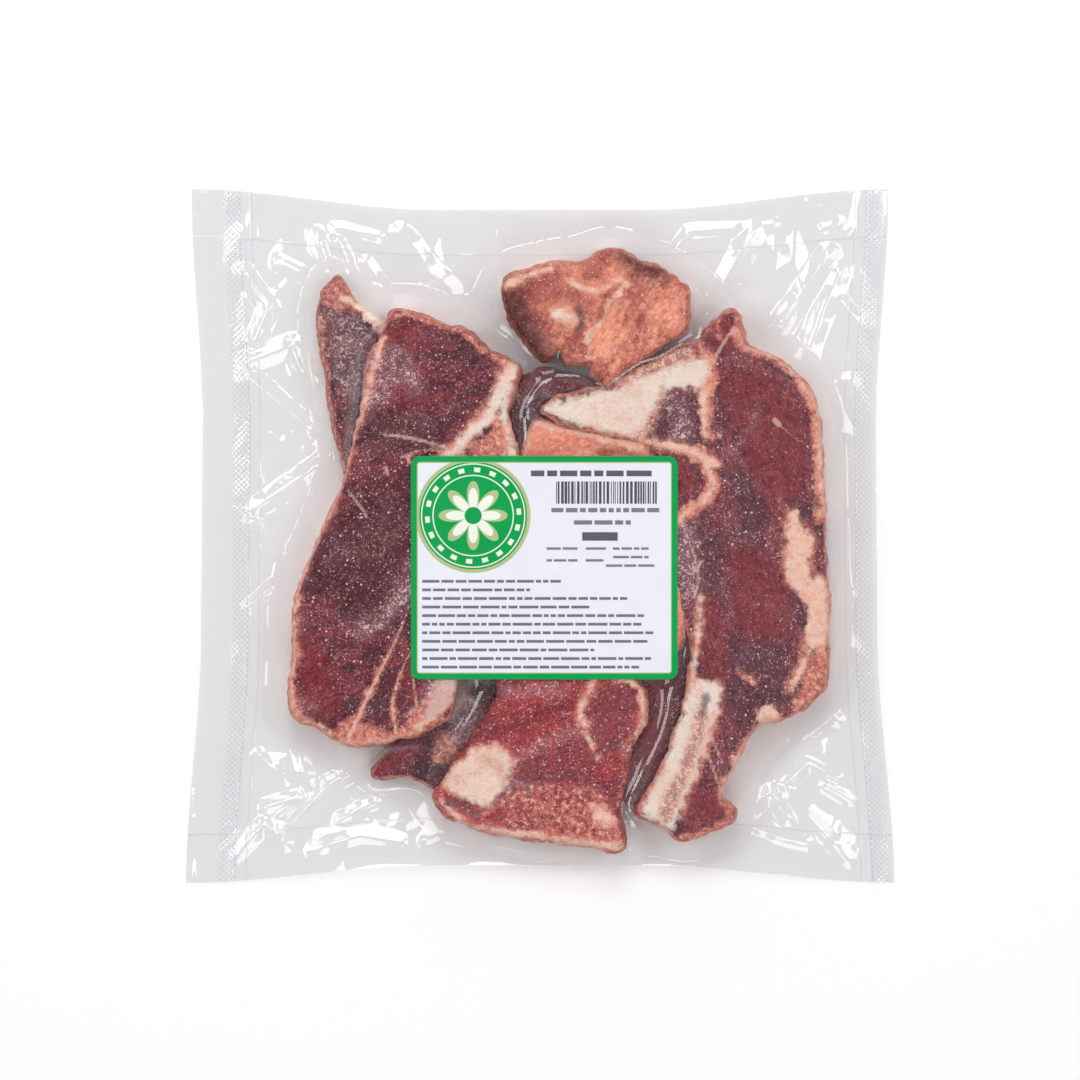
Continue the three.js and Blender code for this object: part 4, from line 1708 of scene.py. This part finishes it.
def left_steak(finish: MeatFinish) -> Steak:
    """The large steak on the left, with a forked bone at its upper right.

    Args:
        finish: Its look.

    Returns:
        The piece, not yet built.
    """
    rim = [(-67, 83), (-73, 61), (-79, 42), (-87, 16), (-95, -3), (-101, -19), (-104, -36), (-103, -50)]
    low_rim = [(-104, -52), (-105, -65), (-103, -75), (-92, -81), (-83, -87), (-66, -87), (-50, -82)]
    return Steak(
        "steak_left",
        [(-62, 95), (-55, 95), (-41, 90), (-31, 87), (-21, 79), (-14, 75), (-8, 70), (-11, 60),
         (-13, 50), (-9, 36), (-7, 24), (-12, 7), (-22, -19), (-29, -44), (-35, -64), (-38, -76),
         (-49, -83), (-65, -87), (-81, -89), (-93, -82), (-104, -76), (-106, -65), (-104, -50),
         (-105, -36), (-101, -19), (-92, 3), (-84, 20), (-78, 43), (-75, 59), (-72, 76), (-67, 85)],
        30.0, (0.085, 0.01), 2.4, finish,
        [
            Streak(Tissue.TALLOW, [(-64, 92), (-56, 94), (-45, 90), (-33, 86), (-24, 79), (-15, 73)],
                   2.2),
            Streak(Tissue.TALLOW, rim, 2.4, 1.2),
            Streak(Tissue.FAT, rim, 0.8, 0.4),
            Streak(Tissue.TALLOW, low_rim, 1.6),
            Streak(Tissue.FAT, low_rim, 0.4),
            Streak(Tissue.BONE, [(-11, 72), (-16, 62), (-22, 51), (-30, 42), (-38, 34), (-47, 28)],
                   7.0, 4.0),
            Streak(Tissue.BONE, [(-13, 63), (-15, 53), (-13, 42), (-10, 31)], 4.5, 3.4),
            Patch(Tissue.TALLOW, [(-17, 52), (-21, 44), (-30, 34), (-25, 26), (-10, 26), (-14, 41)]),
            Streak(Tissue.SINEW, [(-66, 43), (-53, 41), (-39, 37), (-31, 33)], 0.9, 1.6),
            Streak(Tissue.SINEW, [(-59, 33), (-51, 36), (-42, 36)], 0.8),
            Streak(Tissue.FROST, [(-70, 78), (-61, 76), (-57, 69), (-53, 62)], 8.0),
            Streak(Tissue.FROST, [(-76, 55), (-72, 62), (-71, 72)], 8.0),
            Streak(Tissue.SINEW, [(-81, 19), (-77, 14), (-73, 8)], 1.2),
            Streak(Tissue.SINEW, [(-56, 34), (-55, 31)], 1.6),
            Streak(Tissue.SINEW, [(-65, 29), (-64, 26)], 1.8, 1.2),
            Streak(Tissue.SINEW, [(-55, -29), (-60, -42), (-68, -58), (-76, -75), (-81, -86)], 0.5, 1.6),
            Streak(Tissue.TALLOW, [(-60, -42), (-68, -58), (-76, -75), (-81, -86)], 0.6, 3.6),
            Streak(Tissue.SINEW, [(-54, -48), (-59, -58), (-62, -70), (-61, -83)], 0.5, 1.2),
            Streak(Tissue.TALLOW, [(-59, -58), (-62, -70), (-61, -83)], 0.4, 2.4),
            Streak(Tissue.SINEW, [(-54, -56), (-53, -65), (-52, -72)], 1.0),
            Patch(Tissue.TALLOW, [(-87, -84), (-80, -76), (-72, -80), (-61, -82), (-49, -76), (-42, -70),
                                  (-42, -78), (-51, -84), (-64, -88), (-80, -90)]),
            Patch(Tissue.TALLOW, [(-49, -70), (-43, -60), (-37, -60), (-38, -70), (-43, -77), (-50, -80),
                                  (-56, -80)]),
            Patch(Tissue.SHADOW_AND_FROST, [(-45, -66), (-41, -58), (-35, -58), (-37, -68), (-41, -74),
                                  (-49, -78)]),
            Streak(Tissue.SHADOW_AND_FROST, [(-44, -62), (-49, -70), (-57, -76)], 0.8),
            Streak(Tissue.FAT, [(-36, -60), (-38, -68), (-44, -76), (-53, -81)], 1.4),
            Streak(Tissue.FROST, [(-34, -56), (-38, -66), (-46, -66)], 8.0),
            Patch(Tissue.BLOOD_AND_SHADE, [(-74, 85), (-62, 90), (-52, 86), (-58, 80), (-68, 78)]),
            Patch(Tissue.SHADE, [(-70, 50), (-52, 56), (-38, 46), (-52, 38), (-72, 36)]),
            Patch(Tissue.BLOOD_AND_SHADE, [(-64, 64), (-52, 64), (-42, 56), (-54, 54)]),
            Patch(Tissue.FROST, [(-73, 78), (-64, 78), (-58, 68), (-64, 58), (-75, 50), (-76, 62)]),
            Patch(Tissue.BLOOD_AND_SHADE, [(-56, -50), (-50, -58), (-50, -74), (-56, -72)]),
            Patch(Tissue.BLOOD_AND_SHADE, [(-102, -40), (-92, -50), (-84, -70), (-94, -78), (-102, -66)]),
            Patch(Tissue.SHADE, [(-84, 10), (-60, 26), (-40, 20), (-40, -40), (-70, -40), (-96, -20)]),
            Streak(Tissue.SHADE, [(-66, -62), (-67, -82)], 6.0),
            Streak(Tissue.FROST, [(-52, -12), (-58, -24), (-66, -34), (-76, -40)], 9.0, 5.0),
            Streak(Tissue.FROST, [(-100, -70), (-96, -74)], 3.0),
        ],
        lies_on=["steak_tail", "steak_base", "steak_low_left"],
        seed=11,
    )


def right_steak(finish: MeatFinish) -> Steak:
    """The large steak on the right, with a branch of bone and one long marrow bone."""
    return Steak(
        "steak_right",
        [(0, 53), (5, 58), (11, 60), (20, 62), (29, 64), (45, 73), (61, 81), (68, 82), (70, 87),
         (75, 92), (80, 96), (84, 94), (86, 86), (87, 81), (98, 76), (106, 71), (113, 64), (117, 56),
         (119, 41), (120, 20), (121, -6), (122, -27), (122, -48), (120, -65), (112, -72), (102, -78),
         (94, -79), (87, -87), (82, -98), (76, -109), (83, -117), (77, -123), (69, -126), (59, -129),
         (53, -124), (41, -116), (48, -104), (53, -93), (58, -79), (61, -70), (64, -53), (61, -36),
         (55, -19), (49, -4), (44, 11), (48, 28), (47, 36), (35, 41), (19, 44), (6, 49)],
        31.0, (-0.09, 0.01), 2.4, finish,
        [
            Patch(Tissue.BONE, [(1, 53), (6, 57), (20, 60), (36, 65), (50, 71), (62, 76), (70, 75),
                                (72, 69), (69, 62), (63, 62), (57, 62), (51, 57), (47, 49), (42, 41),
                                (26, 44), (13, 47), (6, 50)]),
            Streak(Tissue.FAT, [(70, 68), (69, 60), (69, 51), (70, 41)], 4.0, 1.2),
            Streak(Tissue.TALLOW, [(66, 82), (73, 70), (71, 56), (71, 42)], 3.4),
            Streak(Tissue.MARROW, [(34, 66), (44, 70), (53, 74), (61, 76)], 3.5, 6.0),
            Streak(Tissue.TALLOW, [(40, 66), (50, 68), (58, 72)], 2.0),
            Streak(Tissue.MARROW, [(8, 60), (18, 62), (27, 63)], 1.6, 2.6),
            Streak(Tissue.MARROW, [(27, 42), (37, 41), (45, 45), (50, 54), (52, 62)], 3.0, 2.0),
            Streak(Tissue.FROST, [(55, 57), (59, 50), (60, 44)], 8.0),
            Streak(Tissue.TALLOW, [(68, 85), (74, 92), (80, 96), (85, 91), (87, 82)], 2.4, 3.4),
            Streak(Tissue.FAT, [(83, 87), (85, 83)], 1.0),
            Streak(Tissue.TALLOW, [(74, 88), (77, 84)], 1.6),
            Patch(Tissue.SHADE, [(56, 61), (62, 61), (66, 53), (69, 44), (66, 39), (54, 40), (47, 45),
                                 (51, 55)]),
            Streak(Tissue.FAT, [(42, 40), (56, 38), (66, 35), (73, 30)], 1.6, 3.6),
            Streak(Tissue.SINEW, [(82, 88), (76, 79), (71, 69)], 1.1),
            Patch(Tissue.BLOOD_AND_SHADE, [(53, 33), (63, 34), (67, 26), (64, 19), (56, 13)]),
            Streak(Tissue.TALLOW, [(66, 35), (70, 31), (73, 23), (70, 16), (64, 11), (57, 6)], 7.0, 4.0),
            Streak(Tissue.FAT, [(66, 35), (70, 31), (73, 23), (70, 16), (64, 11), (57, 6)], 1.6, 1.4),
            Patch(Tissue.FROST, [(56, 4), (66, 2), (68, -10), (66, -26), (58, -26)]),
            Patch(Tissue.SHADE, [(54, 4), (68, 4), (86, -2), (84, -30), (66, -30), (54, -22)]),
            Streak(Tissue.SINEW, [(59, 7), (64, -5), (67, -17), (65, -26)], 0.9),
            Streak(Tissue.SINEW, [(58, -12), (64, -16), (69, -10)], 0.8),
            Streak(Tissue.FAT, [(86, 80), (98, 76), (106, 70), (112, 63), (117, 54), (118, 39),
                                (119, 24), (120, 9)], 0.8, 1.4),
            Streak(Tissue.TALLOW, [(84, 82), (98, 75), (107, 68), (115, 54), (117, 30), (118, 6)], 2.6),
            Patch(Tissue.FAT, [(105, 7), (108, 10), (111, 4), (115, -2), (114, -10), (115, -18),
                               (121, -20), (122, -42), (115, -48), (112, -44), (113, -35), (111, -26),
                               (106, -20), (104, -10)]),
            Streak(Tissue.FAT, [(115, -46), (111, -55), (106, -65)], 2.0),
            Patch(Tissue.TALLOW, [(117, -46), (121, -48), (121, -64), (112, -72), (106, -75),
                                  (111, -62)]),
            Patch(Tissue.FAT, [(93, -72), (100, -72), (101, -77), (94, -80)]),
            Streak(Tissue.TALLOW, [(100, -77), (88, -86), (82, -98), (77, -109), (81, -117), (76, -123),
                                   (68, -126), (60, -128)], 3.2),
            Streak(Tissue.FAT, [(97, -79), (87, -88), (81, -99), (77, -108)], 1.4),
            Patch(Tissue.BONE, [(62, -65), (68, -60), (77, -63), (76, -70), (74, -78), (71, -87),
                                (68, -96), (64, -106), (60, -115), (56, -125), (49, -122), (42, -116),
                                (48, -104), (53, -93), (58, -79)]),
            Streak(Tissue.BONE, [(68, -27), (67, -40), (65, -53), (64, -65)], 1.6, 3.0),
            Streak(Tissue.MARROW, [(68, -75), (65, -89), (59, -103), (53, -118)], 5.5, 6.5),
            # Painted shade in the bone's hollow.
            Streak(Tissue.SHADOW_AND_FROST, [(70, -68), (69, -75)], 4.0, 2.5),
            Streak(Tissue.BLOOD_AND_SHADE, [(72, -30), (73, -46), (74, -60)], 10.0),
            Streak(Tissue.TALLOW, [(83, -57), (90, -62)], 2.4),
            Streak(Tissue.SINEW, [(70, -90), (73, -98), (76, -107)], 1.0),
            Streak(Tissue.SINEW, [(73, -86), (77, -96)], 0.8),
            Streak(Tissue.SINEW, [(99, 49), (101, 47)], 2.0),
            Streak(Tissue.SINEW, [(101, 47), (107, 42), (112, 39)], 0.5),
            Streak(Tissue.SINEW, [(75, 43), (76, 42)], 1.6),
            Patch(Tissue.BLOOD_AND_SHADE, [(74, 70), (100, 66), (112, 50), (112, 20), (96, 16), (84, 40)]),
            Patch(Tissue.BLOOD_AND_SHADE, [(70, 92), (80, 94), (84, 84), (74, 78)]),
            Patch(Tissue.SHADE, [(80, -44), (106, -48), (104, -68), (84, -78), (78, -64)]),
            Patch(Tissue.BLOOD_AND_SHADE, [(80, -6), (100, -12), (106, -30), (98, -44), (82, -36)]),
            Patch(Tissue.BLOOD_AND_SHADE, [(64, -108), (74, -106), (80, -116), (72, -124), (62, -124)]),
            Streak(Tissue.FROST, [(80, 36), (88, 44), (92, 56)], 1.0),
        ],
        lies_on=["steak_base", "steak_middle"],
        dips=[
            Dip(Streak(Tissue.SHADE, [(90, 82), (80, 78), (71, 82)], 2.0), 1.2),
            Dip(Streak(Tissue.SHADE, [(56, 38), (66, 35), (74, 26)], 1.6), -0.6),
            Dip(Patch(Tissue.SHADE, [(54, 52), (60, 59), (64, 50), (66, 42), (54, 42)]), 0.8),
        ],
        seed=21,
    )


def other_pieces(finishes: dict[str, MeatFinish]) -> list[Steak]:
    """The lower pieces and the smaller upper ones.

    Args:
        finishes: The finish of each kind of piece.

    Returns:
        The pieces, those that lie lowest first.
    """
    tail = Steak(
        "steak_tail",
        [(-86, 111), (-81, 104), (-75, 97), (-64, 90), (-55, 79), (-55, 49), (-66, 28), (-76, 20),
         (-83, 28), (-87, 45), (-90, 62), (-93, 81), (-94, 96), (-91, 105)],
        15.0, (0.0, 0.0), 2.6, finishes["frosty"],
        [
            Patch(Tissue.TALLOW, [(-87, 111), (-80, 104), (-80, 97), (-90, 97), (-93, 102)]),
            Streak(Tissue.FAT, [(-84, 100), (-77, 98), (-71, 94), (-63, 89)], 3.0, 8.0),
            Streak(Tissue.BONE, [(-80, 99), (-74, 96), (-69, 92), (-63, 88)], 3.5, 9.0),
            Streak(Tissue.FROST, [(-88, 92), (-80, 90), (-74, 84)], 6.0),
            Streak(Tissue.TALLOW, [(-93, 92), (-91, 70), (-88, 47), (-83, 28)], 2.4),
            Patch(Tissue.FROST, [(-90, 86), (-76, 84), (-70, 64), (-84, 60)]),
            Streak(Tissue.FROST, [(-90, 95), (-84, 92), (-76, 92)], 5.0),
        ],
        seed=31,
    )
    base = Steak(
        "steak_base",
        [(-7, 68), (20, 66), (60, 36), (75, 0), (75, -70), (52, -116), (38, -114), (13, -78), (-28, -44),
         (-28, 30)],
        16.0, (0.0, 0.0), 4.0, finishes["frosty"],
        [
            Streak(Tissue.FROST, [(-6, 58), (-2, 46), (-4, 36)], 3.0),
            Streak(Tissue.BLOOD_AND_SHADE, [(-6, 68), (4, 66), (14, 64)], 5.0),
            Streak(Tissue.BLOOD_AND_SHADE, [(52, -64), (49, -80), (44, -96)], 12.0),
        ],
        seed=41,
    )
    low_left = Steak(
        "steak_low_left",
        [(-71, -102), (-66, -93), (-60, -84), (-51, -70), (-38, -57), (-17, -53), (-8, -65), (-25, -87),
         (-32, -103), (-42, -108), (-55, -102)],
        13.0, (0.0, 0.0), 2.6, finishes["frosty"],
        [
            Streak(Tissue.FROST, [(-42, -60), (-36, -70), (-32, -82)], 14.0),
            Streak(Tissue.BLOOD_AND_SHADE, [(-71, -102), (-64, -96), (-57, -90)], 4.0),
            Patch(Tissue.TALLOW, [(-44, -84), (-36, -84), (-35, -94), (-44, -96)]),
            Patch(Tissue.SHADOW_AND_FROST, [(-44, -56), (-27, -55), (-25, -60), (-30, -65), (-33, -73),
                                  (-40, -78)]),
            Streak(Tissue.SHADOW_AND_FROST, [(-30, -58), (-23, -62), (-17, -60)], 1.6, 0.5),
            Streak(Tissue.SHADOW_AND_FROST, [(-33, -67), (-27, -71), (-23, -78)], 1.4, 0.5),
        ],
        seed=51,
    )
    middle = Steak(
        "steak_middle",
        [(-4, 46), (-1, 49), (15, 47), (44, 40), (50, 15), (60, -22), (56, -52), (20, -58), (-28, -54),
         (-24, -22), (-12, 5), (-9, 30)],
        26.0, (0.0, 0.0), 2.8, finishes["orange"],
        [
            Streak(Tissue.FAT, [(-8, 30), (-6, 42), (-2, 47), (8, 45), (25, 42), (42, 37)], 2.6),
            Streak(Tissue.BLOOD_AND_SHADE, [(27, 35), (34, 36), (42, 33)], 3.0),
            Streak(Tissue.SHADE, [(0, 42), (2, 34)], 3.0),
        ],
        lies_on=["steak_base"],
        seed=61,
    )
    bottom = Steak(
        "steak_bottom",
        [(-17, -57), (-18, -66), (-25, -79), (-33, -91), (-38, -100), (-45, -109), (-39, -119),
         (-30, -122), (-17, -126), (0, -129), (20, -131), (31, -134), (36, -130), (34, -117), (36, -104),
         (38, -92), (43, -82), (45, -72), (42, -62), (30, -53), (4, -48)],
        30.0, (0.0, 0.06), 2.6, finishes["red"],
        [
            Streak(Tissue.BLOOD_AND_SHADE, [(-17, -62), (-22, -74), (-31, -85), (-36, -96)], 6.0),
            Patch(Tissue.BONE, [(-38, -98), (-32, -93), (-25, -88), (-18, -88), (-13, -92), (-11, -98),
                                (-14, -105), (-18, -112), (-24, -115), (-31, -112), (-38, -108),
                                (-41, -103)]),
            Streak(Tissue.FAT, [(24, -58), (22, -62), (20, -67), (17, -74), (19, -80), (21, -87),
                                (24, -93)], 2.2, 1.2),
            Patch(Tissue.SHADE, [(23, -66), (33, -62), (41, -70), (40, -83), (34, -89), (26, -86),
                                 (21, -76)]),
            Streak(Tissue.TALLOW, [(26, -58), (39, -62), (44, -71), (42, -81), (38, -89), (36, -104),
                                   (34, -116)], 3.2),
            Streak(Tissue.FAT, [(30, -57), (39, -62), (43, -68), (44, -78), (41, -84)], 3.6, 2.0),
            # Painted shadow along the fold line above the raised lower flap.
            Streak(Tissue.SHADE, [(-10, -101), (2, -102), (15, -102), (24, -104)], 6.0),
            Patch(Tissue.TALLOW, [(-12, -106), (8, -106), (22, -107), (29, -113), (34, -125), (31, -132),
                                  (8, -128), (-12, -123)]),
            Patch(Tissue.FAT, [(21, -113), (27, -115), (33, -121), (26, -123)]),
            Streak(Tissue.FAT, [(-42, -112), (-33, -120), (-17, -125), (2, -127), (19, -130),
                                (33, -131)], 1.8, 3.0),
            # Darker blue-grey along the lower left edge and beside the bone, in the colour that paints shade
            # in hollows.
            Streak(Tissue.SHADOW_AND_FROST, [(-40, -111), (-34, -115), (-26, -119)], 1.6),
            Streak(Tissue.SHADOW_AND_FROST, [(-14, -107), (-9, -104), (-4, -108)], 2.0),
            Streak(Tissue.FROST, [(37, -90), (39, -93)], 5.0),
            Streak(Tissue.BLOOD_AND_SHADE, [(-20, -84), (0, -76), (18, -70)], 4.0),
            Streak(Tissue.FROST, [(-11, -94), (4, -87), (20, -79)], 3.0),
            Streak(Tissue.TALLOW, [(-10, -98), (-13, -108), (-20, -116)], 2.0),
            Streak(Tissue.MARROW, [(-24, -94), (-17, -98), (-14, -106)], 4.0, 3.0),
            Streak(Tissue.FROST, [(-28, -60), (-8, -66), (10, -64)], 3.0),
        ],
        lies_on=["steak_base", "steak_low_left"],
        dips=[
            Dip(Streak(Tissue.SHADE, [(-12, -102), (2, -103), (15, -103), (27, -105)], 1.6), 1.4),
            Dip(Patch(Tissue.TALLOW, [(-12, -108), (8, -108), (22, -109), (33, -118), (30, -130),
                                      (-10, -122)]), -0.8),
            Dip(Streak(Tissue.SHADE, [(20, -60), (17, -74), (22, -90)], 1.2), -0.5),
        ],
        seed=71,
    )
    top = Steak(
        "steak_top",
        [(-16, 105), (-14, 110), (-7, 112), (3, 115), (9, 116), (18, 116), (26, 121), (34, 121),
         (45, 115), (50, 114), (58, 109), (63, 104), (63, 95), (61, 86), (55, 82), (43, 73), (31, 65),
         (28, 62), (22, 68), (20, 72), (11, 73), (8, 78), (2, 74), (-3, 78), (-11, 89), (-14, 94)],
        33.0, (0.0, -0.07), 4.4, finishes["brown"],
        [
            # Painted shade: the dark side wall on the left, in the near-black blood colour of this finish.
            Streak(Tissue.BLOOD_AND_SHADE, [(-15, 104), (-11, 93), (-5, 83), (1, 75)], 15.0, 11.0),
            Patch(Tissue.SHADE, [(-12, 107), (8, 112), (22, 102), (18, 96), (4, 98), (-4, 88)]),
            Streak(Tissue.FAT, [(11, 108), (17, 105), (22, 104), (28, 105), (34, 108)], 1.4),
            Streak(Tissue.FAT, [(37, 107), (30, 99), (27, 92), (22, 87), (19, 82)], 1.6),
            Patch(Tissue.FAT, [(4, 93), (7, 96), (11, 97), (15, 94), (16, 89), (11, 89), (6, 91)]),
            Streak(Tissue.BONE, [(7, 94), (11, 93)], 5.0),
            # Painted shadow beside the raised knob.
            Streak(Tissue.SHADOW_AND_FROST, [(16, 96), (18, 91), (16, 87)], 3.4, 2.6),
            Streak(Tissue.FAT, [(20, 76), (21, 75)], 0.8),
            Streak(Tissue.BLOOD_AND_SHADE, [(35, 118), (42, 114), (49, 111)], 6.0),
            Patch(Tissue.SHADE, [(16, 116), (25, 115), (25, 107), (19, 107)]),
            Streak(Tissue.FAT, [(-14, 106), (-5, 110), (4, 113)], 2.0),
        ],
        lies_on=["steak_base"],
        dips=[
            Dip(Patch(Tissue.SHADE, [(-16, 106), (8, 112), (28, 106), (24, 92), (16, 80), (2, 74),
                                     (-10, 88)]), 1.6),
            Dip(Streak(Tissue.SHADE, [(37, 112), (30, 100), (26, 90), (20, 80)], 1.0), -0.7),
            Dip(Patch(Tissue.SHADE, [(14, 118), (26, 118), (27, 108), (18, 107)]), 2.0),
            Dip(Patch(Tissue.FAT, [(4, 93), (7, 97), (12, 98), (16, 94), (16, 89), (8, 89)]), -2.2),
        ],
        relief=1.0,
        seed=81,
    )
    return [tail, base, low_left, middle, bottom, top]


def main_creases() -> list[Crease]:
    """The folds that stand out in the film round the meat, each with its height and half width."""
    return [
        Crease([(-60, -89), (-73, -96), (-90, -106), (-109, -126)], 3.0, 5.0),
        Crease([(-120, 12), (-94, 30), (-87, 36)], 2.2, 5.0),
        Crease([(-122, 6), (-108, -9), (-110, -19), (-123, -30)], 2.0, 4.0),
        Crease([(-124, 67), (-99, 46)], 2.2, 6.0),
        Crease([(-123, 74), (-105, 81), (-98, 64)], 2.4, 6.0),
        Crease([(-59, 129), (-48, 114), (-38, 104)], 2.4, 6.0),
        Crease([(-95, 128), (-90, 112)], 2.0, 4.0),
        Crease([(-86, 125), (-80, 112)], 2.0, 4.0),
        Crease([(-111, 116), (-93, 107)], 1.6, 4.0),
        Crease([(-74, 116), (-62, 99)], 1.6, 4.0),
        Crease([(-126, 112), (-115, 97), (-120, 83)], 2.2, 5.0),
        Crease([(-122, 145), (-121, 127)], 1.0, 4.0),
        Crease([(-87, 131), (-68, 127)], 1.0, 3.0),
        Crease([(90, 130), (81, 112), (72, 98)], 2.6, 6.0),
        Crease([(122, 119), (108, 98), (95, 78)], 2.8, 6.0),
        Crease([(127, 112), (121, 99), (111, 70)], 2.4, 6.0),
        Crease([(132, 145), (130, 133), (121, 131)], 1.4, 4.0),
        Crease([(113, 141), (128, 131)], 1.4, 4.0),
        Crease([(62, 128), (55, 117)], 1.8, 4.0),
        Crease([(62, 129), (100, 132)], 1.4, 4.0),
        Crease([(126, 101), (134, 92)], 1.6, 4.0),
        Crease([(120, 60), (129, 44)], 1.8, 5.0),
        Crease([(132, 66), (140, 50)], 1.0, 4.0),
        Crease([(122, -17), (130, -25)], 1.4, 4.0),
        Crease([(124, -39), (140, -55)], 1.6, 5.0),
        Crease([(117, -71), (126, -78)], 1.4, 4.0),
        Crease([(84, -118), (98, -109), (105, -119)], 2.2, 5.0),
        Crease([(84, -120), (104, -128), (113, -130)], 1.8, 4.0),
        Crease([(113, -97), (104, -106), (106, -110), (115, -120), (131, -138)], 2.0, 4.0),
        Crease([(113, -96), (126, -103)], 1.6, 3.0),
        Crease([(121, -106), (132, -112)], 1.4, 3.0),
        Crease([(79, -109), (92, -87)], 1.6, 3.0),
        Crease([(84, -114), (95, -95), (103, -87)], 1.6, 4.0),
        Crease([(-120, -93), (-109, -103)], 1.4, 4.0),
        Crease([(-116, -115), (-103, -111), (-109, -119)], 2.0, 4.0),
        Crease([(-103, -87), (-97, -109)], 1.8, 4.0),
        Crease([(-82, -93), (-76, -101)], 1.4, 3.0),
        Crease([(-129, -137), (-117, -122), (-108, -131)], 1.8, 4.0),
        Crease([(-96, -133), (-76, -127), (-59, -130)], 1.8, 4.0),
        Crease([(-85, -120), (-70, -113)], 1.4, 3.0),
        Crease([(-49, -129), (-36, -123)], 1.4, 3.0),
        Crease([(-40, -128), (-10, -134), (20, -136)], 1.2, 3.0),
    ]


@dataclass
class Studio:
    """The pale floor, the soft lights and the camera straight above."""

    frame_width: float = 458.2
    camera_height: float = 5000.0
    bag_below_middle: float = -1.7
    wall_light: float = 0.8
    ceiling_light: float = 0.16
    sensor: float = 36.0

    def build(self) -> None:
        """Set up the floor, the world, the lights and the camera."""
        self.floor()
        self.world()
        for name, place, size, power in (
            ("light_left", (-1.0, 0.25, 1.55), 0.85, 9.0),
            ("light_right", (1.0, 0.2, 1.55), 0.85, 7.8),
            ("light_top", (-0.1, 1.0, 1.55), 0.85, 11.6),
            ("light_low", (0.15, -1.1, 1.45), 0.75, 5.2),
        ):
            self.lamp(name, Vector(place), size, power)
        self.camera()
        bpy.context.scene.view_settings.view_transform = "Standard"

    def floor(self) -> None:
        """Lay the floor just under the pouch."""
        bpy.ops.object.select_all(action="DESELECT")
        bpy.ops.mesh.primitive_plane_add(size=8, location=(0, 0, -0.0003))
        plane = bpy.context.active_object
        plane.name = "floor"
        paint = Paint("floor_white")
        sockets = {"Base Color": (0.97, 0.97, 0.97, 1.0), "Roughness": 0.9, "Specular IOR Level": 0.0}
        plane.data.materials.append(paint.finish(paint.node("ShaderNodeBsdfPrincipled", {}, sockets)))

    def world(self) -> None:
        """Give the room a pale light, bright near the floor's edge and dim overhead."""
        world = bpy.data.worlds.new("studio")
        world.use_nodes = True
        nodes = world.node_tree.nodes
        way = nodes.new("ShaderNodeTexCoord")
        split = nodes.new("ShaderNodeSeparateXYZ")
        fade = nodes.new("ShaderNodeMapRange")
        fade.inputs["From Min"].default_value = 0.1
        fade.inputs["From Max"].default_value = 0.75
        fade.inputs["To Min"].default_value = self.wall_light
        fade.inputs["To Max"].default_value = self.ceiling_light
        links = world.node_tree.links
        links.new(way.outputs["Generated"], split.inputs[0])
        links.new(split.outputs["Z"], fade.inputs["Value"])
        links.new(fade.outputs[0], nodes["Background"].inputs["Strength"])
        nodes["Background"].inputs["Color"].default_value = (1.0, 1.0, 1.0, 1.0)
        bpy.context.scene.world = world

    def lamp(self, name: str, place: Vector, size: float, power: float) -> None:
        """Hang a square soft light that looks at the pouch.

        Args:
            name: The light's name.
            place: Where it hangs, in metres.
            size: The length of its side, in metres.
            power: Its power in watts.
        """
        data = bpy.data.lights.new(name, "AREA")
        data.size = size
        data.energy = power
        lamp = bpy.data.objects.new(name, data)
        lamp.location = place
        lamp.rotation_euler = (-place).to_track_quat("-Z", "Y").to_euler()
        bpy.context.scene.collection.objects.link(lamp)

    def camera(self) -> None:
        """Put a long lens straight above the pouch."""
        data = bpy.data.cameras.new("camera")
        data.sensor_width = self.sensor
        data.sensor_fit = "HORIZONTAL"
        data.lens = self.sensor * self.camera_height / self.frame_width
        data.clip_end = 20
        camera = bpy.data.objects.new("camera", data)
        camera.location = (0, self.bag_below_middle * MM, self.camera_height * MM)
        bpy.context.scene.collection.objects.link(camera)
        bpy.context.scene.camera = camera


def support_under(steak: Steak, built: dict[str, Steak], pouch: Pouch) -> HeightMap:
    """Find how high the lower sheet and the pieces under a steak reach.

    Args:
        steak: The steak.
        built: The pieces by name.
        pouch: The pouch, whose lower sheet rises towards its rim.

    Returns:
        The map of what the steak lies on.
    """
    pitch = 2.5
    places = HeightMap.places(pitch)
    reach = pouch.underside(places)
    for name in steak.lies_on:
        reach = np.maximum(reach, built[name].top_heights(places))
    return HeightMap.over(reach, pitch)


def main() -> None:
    """Build every piece in order, hang each on its body and log its face count."""
    logging.basicConfig(level=logging.INFO, format="%(message)s")
    finishes = steak_finishes()
    steaks = other_pieces(finishes) + [left_steak(finishes["dark"]), right_steak(finishes["right"])]
    by_name = {steak.name: steak for steak in steaks}
    pouch = Pouch(creases=main_creases(), crumples=[Crumple(14.0, 2.5, 5), Crumple(6.5, 0.5, 6)])
    pieces = [(steak.build(support_under(steak, by_name, pouch)), POUCH_SLOT) for steak in steaks]
    drape = pouch.drape(steaks)
    pieces.append((pouch.build(steaks, drape), POUCH_SLOT))
    label = Label()
    sheet = label.settle_over(drape)
    pieces += [(label.build(sheet), LABEL_SLOT), (label.print_ink(sheet), LABEL_SLOT)]
    for piece, slot in pieces:
        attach(piece, BODY)
        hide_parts(POUCH_NODE if slot == POUCH_SLOT else LABEL_NODE)
        log.info("%s: %d faces", piece.name, len(piece.data.polygons))
    Studio().build()
    bpy.context.view_layer.update()


if __name__ == "__main__":
    main()
